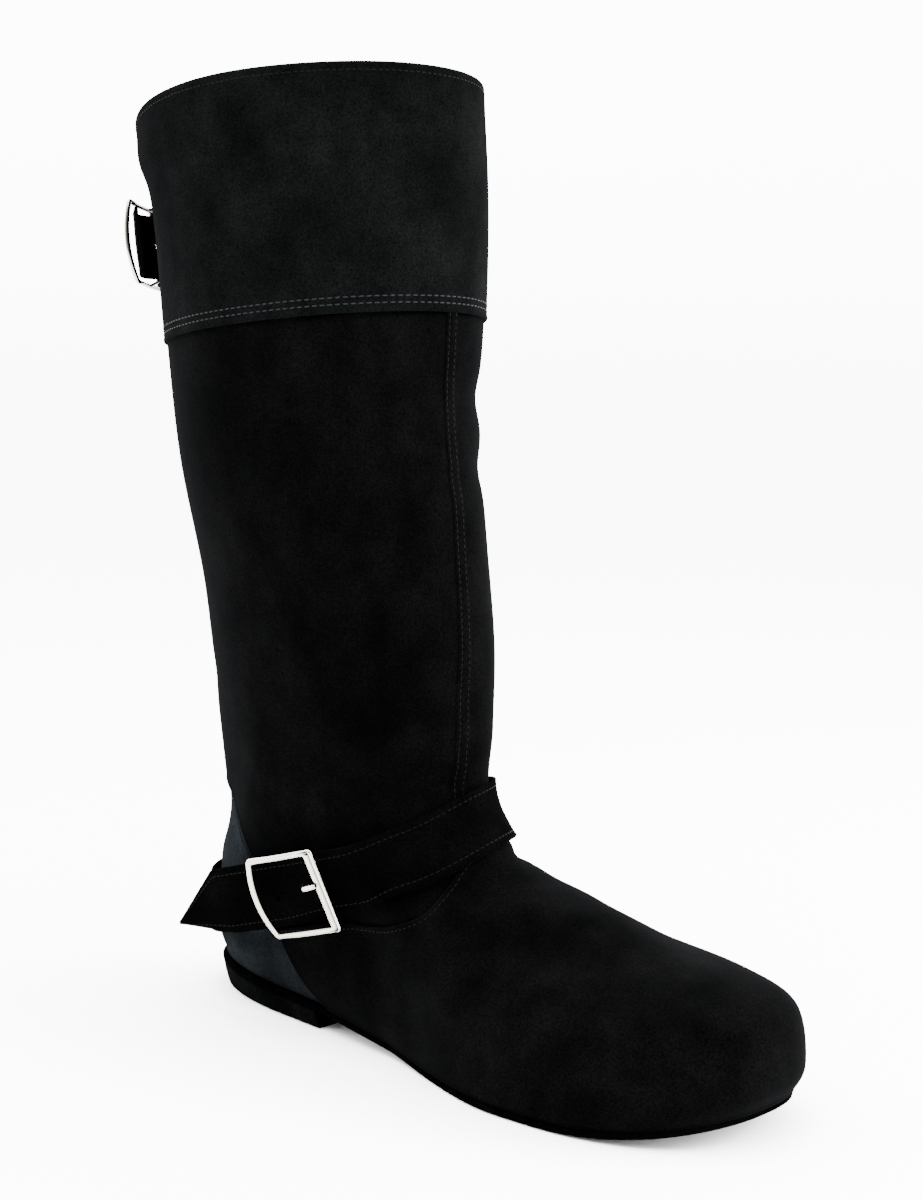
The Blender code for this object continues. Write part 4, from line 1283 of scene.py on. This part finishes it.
class BOOT_OT_sole(bpy.types.Operator):
    """Build the sole and the heel with loose fibres at the sole's edge, and dress the insole"""
    bl_idname = "boot.sole"
    bl_label = "Build sole and heel"

    def execute(self, context):
        angles = even_angles(COLUMNS)
        loops = []
        for depth, grow in SOLE_EDGE:
            outline = sole_outline(grow, angles)
            loops.append(np.column_stack([outline, np.maximum(sole_top(outline[:, 0]) - depth, 0)]))
        make_piece("outsole_suede", *capped_loops(loops), boot_material("sole"), ["outsole"], "sole_suede",
                   SOLE_SMOOTH)
        feather = RINGS["feather"]
        share = (BREAST_X - feather.back_x) / (feather.front_x - feather.back_x)
        breast = math.degrees(math.acos(1 - 2 * share))
        angles = np.linspace(-breast, breast, HEEL_COLUMNS)
        loops = []
        for part, grow in HEEL_SIDE:
            outline = sole_outline(grow, angles)
            under_sole = sole_top(outline[:, 0]) - SOLE_THICKNESS - HEEL_GAP
            loops.append(np.column_stack([outline, part * under_sole]))
        make_piece("heel_suede", *capped_loops(loops), boot_material("heel"), ["heel"], "sole_suede",
                   HEEL_SMOOTH)
        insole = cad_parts["insole"]
        insole.data.materials.clear()
        insole.data.materials.append(boot_material("insole"))
        self.grow_fibres(context.scene.boot_sizes)
        return {"FINISHED"}

    def grow_fibres(self, sizes):
        """Loose fibres along the sole's edge."""
        angles = np.append(even_angles(FIBRE_POINTS), 360.0)
        feather = sole_outline(0.0, angles)
        lines = []
        for depth, grow in FIBRE_ROWS:
            outline = sole_outline(grow, angles)
            height = np.maximum(sole_top(outline[:, 0]) - depth, FIBRE_LOW)
            out = unit(np.column_stack([outline - feather, np.full(len(outline), FIBRE_DROOP)]))
            lines.append((np.column_stack([outline, height]), out))
        values = {"Pitch": sizes.fibre_pitch, "Size": (sizes.fibre, FIBRE_WIDTH * MM, FIBRE_WIDTH * MM),
                  "Stand": math.radians(FIBRE_STAND), "Spread": FIBRE_SPREAD, "Seed": 7,
                  "Sides": 4, "Rings": 3, "Material": boot_material("sole")}
        make_rows("sole_fibres", lines, values)


class BOOT_OT_straps(bpy.types.Operator):
    """Build the ankle strap with its punched holes, and the cuff strap"""
    bl_idname = "boot.straps"
    bl_label = "Build straps"

    def execute(self, context):
        for place in STRAPS:
            make_strap(place, boot_material("suede_strap"))
        make_holes(STRAPS["ankle"], boot_material("hole"))
        return {"FINISHED"}


class BOOT_OT_buckles(bpy.types.Operator):
    """Build both nickel buckles with their prongs"""
    bl_idname = "boot.buckles"
    bl_label = "Build buckles"

    def execute(self, context):
        for place in BUCKLES:
            make_buckle(place, boot_material("nickel"))
        return {"FINISHED"}


class BOOT_OT_stitches(bpy.types.Operator):
    """Sew every row of stitches on panels and straps"""
    bl_idname = "boot.stitches"
    bl_label = "Sew stitches"

    def execute(self, context):
        sizes = context.scene.boot_sizes
        values = {"Pitch": sizes.cuff_pitch, "Material": boot_material("thread"),
                  "Size": (sizes.cuff_stitch, sizes.cuff_thread, sizes.cuff_thread * STITCH_FLAT),
                  "Stand": 0.0, "Spread": STITCH_SPREAD, "Seed": 3, "Sides": 8, "Rings": 6}
        make_rows("cuff_stitches", cuff_lines(sizes), values)
        values["Pitch"] = sizes.stitch_pitch
        values["Size"] = (sizes.stitch_length, sizes.thread, sizes.thread * STITCH_FLAT)
        values["Material"] = boot_material("thread_dark")
        make_rows("seam_stitches", seam_lines(sizes), values)
        lines = [line for place in STRAPS for line in strap_lines(place, sizes.strap_inset / MM)]
        make_rows("strap_stitches", lines, values)
        return {"FINISHED"}


class BOOT_OT_stage(bpy.types.Operator):
    """Set the pale floor, the soft studio light and the camera at the photo's angle"""
    bl_idname = "boot.stage"
    bl_label = "Set stage"

    def execute(self, context):
        settings = context.scene.boot_stage
        self.make_floor(context.scene.boot_colours.floor)
        self.make_world(settings)
        self.make_light("key_soft_box", KEY_PLACE, KEY_SIZE, settings.key)
        self.make_light("toe_soft_box", SIDE_PLACE, SIDE_SIZE, settings.side)
        self.make_camera(settings)
        return {"FINISHED"}

    def make_world(self, settings):
        """White all round, brightest behind the boot and overhead."""
        world = bpy.data.worlds.new("white_studio")
        world.use_nodes = True
        tree = world.node_tree
        way = add(tree, "ShaderNodeTexCoord").outputs["Generated"]
        toward = add(tree, "ShaderNodeVectorMath", {0: way, 1: LIGHT_WAY}, operation="DOT_PRODUCT")
        strength = add(tree, "ShaderNodeMapRange",
                       {"Value": toward.outputs["Value"], "From Min": LIGHT_FROM, "From Max": LIGHT_TO,
                        "To Min": settings.dim, "To Max": settings.surround}, interpolation_type="SMOOTHSTEP")
        # The wall fades down to the floor's own brightness, so that hardly a line shows where they meet
        height = add(tree, "ShaderNodeSeparateXYZ", {"Vector": way})
        fade = add(tree, "ShaderNodeMapRange", {"Value": height.outputs["Z"], "From Max": FADE_HEIGHT,
                                                "To Min": FADE_SHARE}, interpolation_type="SMOOTHSTEP")
        fill(tree, tree.nodes["Background"],
             {"Color": (1, 1, 1, 1), "Strength": times(tree, strength.outputs[0], fade.outputs[0])})
        bpy.context.scene.world = world

    def make_floor(self, base):
        """A wide pale floor."""
        points = np.column_stack([FLOOR_RADIUS * circle(64), np.full(64, FLOOR_HEIGHT)])
        mesh = bpy.data.meshes.new("floor")
        mesh.from_pydata(points.tolist(), [], [tuple(range(len(points)))])
        # Matt white sweep: paper or paint, with hardly any gloss
        material, tree, shader = new_material("matt_white_sweep")
        fill(tree, shader, {"Base Color": base, "Roughness": .9, "Specular IOR Level": .1})
        mesh.materials.append(material)
        new_object("floor", mesh)

    def make_light(self, name, place, size, power):
        """A square soft box that faces the middle of the boot."""
        light = bpy.data.lights.new(name, "AREA")
        light.shape, light.size, light.energy = "SQUARE", size, power
        lamp = new_object(name, light)
        lamp.location = place
        lamp.rotation_euler = (Vector(LIGHT_AIM) - lamp.location).to_track_quat("-Z", "Y").to_euler()

    def make_camera(self, settings):
        """The photo's camera: its place and the turns of its axes, as worked out from the photo."""
        sine, cosine = math.sin(settings.azimuth), math.cos(settings.azimuth)
        away = settings.distance
        place = np.array([CAMERA_AIM + away * sine, -away * cosine, settings.height]) + SHIFT * MM
        ahead, right = np.array([-sine, cosine, 0.0]), np.array([cosine, sine, 0.0])
        up = np.array([0.0, 0.0, 1.0])
        ahead, right = turned(ahead, right, math.degrees(settings.pan))
        ahead, up = turned(ahead, up, -math.degrees(settings.tilt))
        right, up = turned(right, up, math.degrees(settings.roll))
        data = bpy.data.cameras.new("photo_camera")
        data.sensor_width, data.lens = 36.0, settings.focal
        data.clip_start, data.clip_end = .01, 50.0
        camera = new_object("photo_camera", data)
        matrix = Matrix.Identity(4)
        for column, axis in enumerate((right, up, -ahead, place)):
            for row in range(3):
                matrix[row][column] = axis[row]
        camera.matrix_world = matrix
        bpy.context.scene.camera = camera


STEPS = (BOOT_OT_shaft, BOOT_OT_vamp, BOOT_OT_counter, BOOT_OT_cuff, BOOT_OT_sole, BOOT_OT_straps,
         BOOT_OT_buckles, BOOT_OT_stitches, BOOT_OT_stage)


class BOOT_PT_sidebar(bpy.types.Panel):
    """Sizes, colours, stage and building steps of the boot"""
    bl_idname = "BOOT_PT_sidebar"
    bl_label = "Dance Boot"
    bl_space_type = "VIEW_3D"
    bl_region_type = "UI"
    bl_category = "Boot"

    def draw(self, context):
        for group in (context.scene.boot_sizes, context.scene.boot_colours, context.scene.boot_stage):
            box = self.layout.box()
            for name in group.__annotations__:
                box.prop(group, name)
        for step in STEPS:
            self.layout.operator(step.bl_idname)


CLASSES = (BootSizes, BootColours, StageSettings) + STEPS + (BOOT_PT_sidebar,)


def register():
    """Add the classes and the scene's settings."""
    for kind in CLASSES:
        bpy.utils.register_class(kind)
    bpy.types.Scene.boot_sizes = bpy.props.PointerProperty(type=BootSizes)
    bpy.types.Scene.boot_colours = bpy.props.PointerProperty(type=BootColours)
    bpy.types.Scene.boot_stage = bpy.props.PointerProperty(type=StageSettings)


def unregister():
    """Take the settings and the classes away again."""
    del bpy.types.Scene.boot_stage
    del bpy.types.Scene.boot_colours
    del bpy.types.Scene.boot_sizes
    for kind in reversed(CLASSES):
        bpy.utils.unregister_class(kind)


def main():
    """Register, then build every piece and the stage."""
    register()
    for step in STEPS:
        group, name = step.bl_idname.split(".")
        getattr(getattr(bpy.ops, group), name)()


if __name__ == "__main__":
    main()
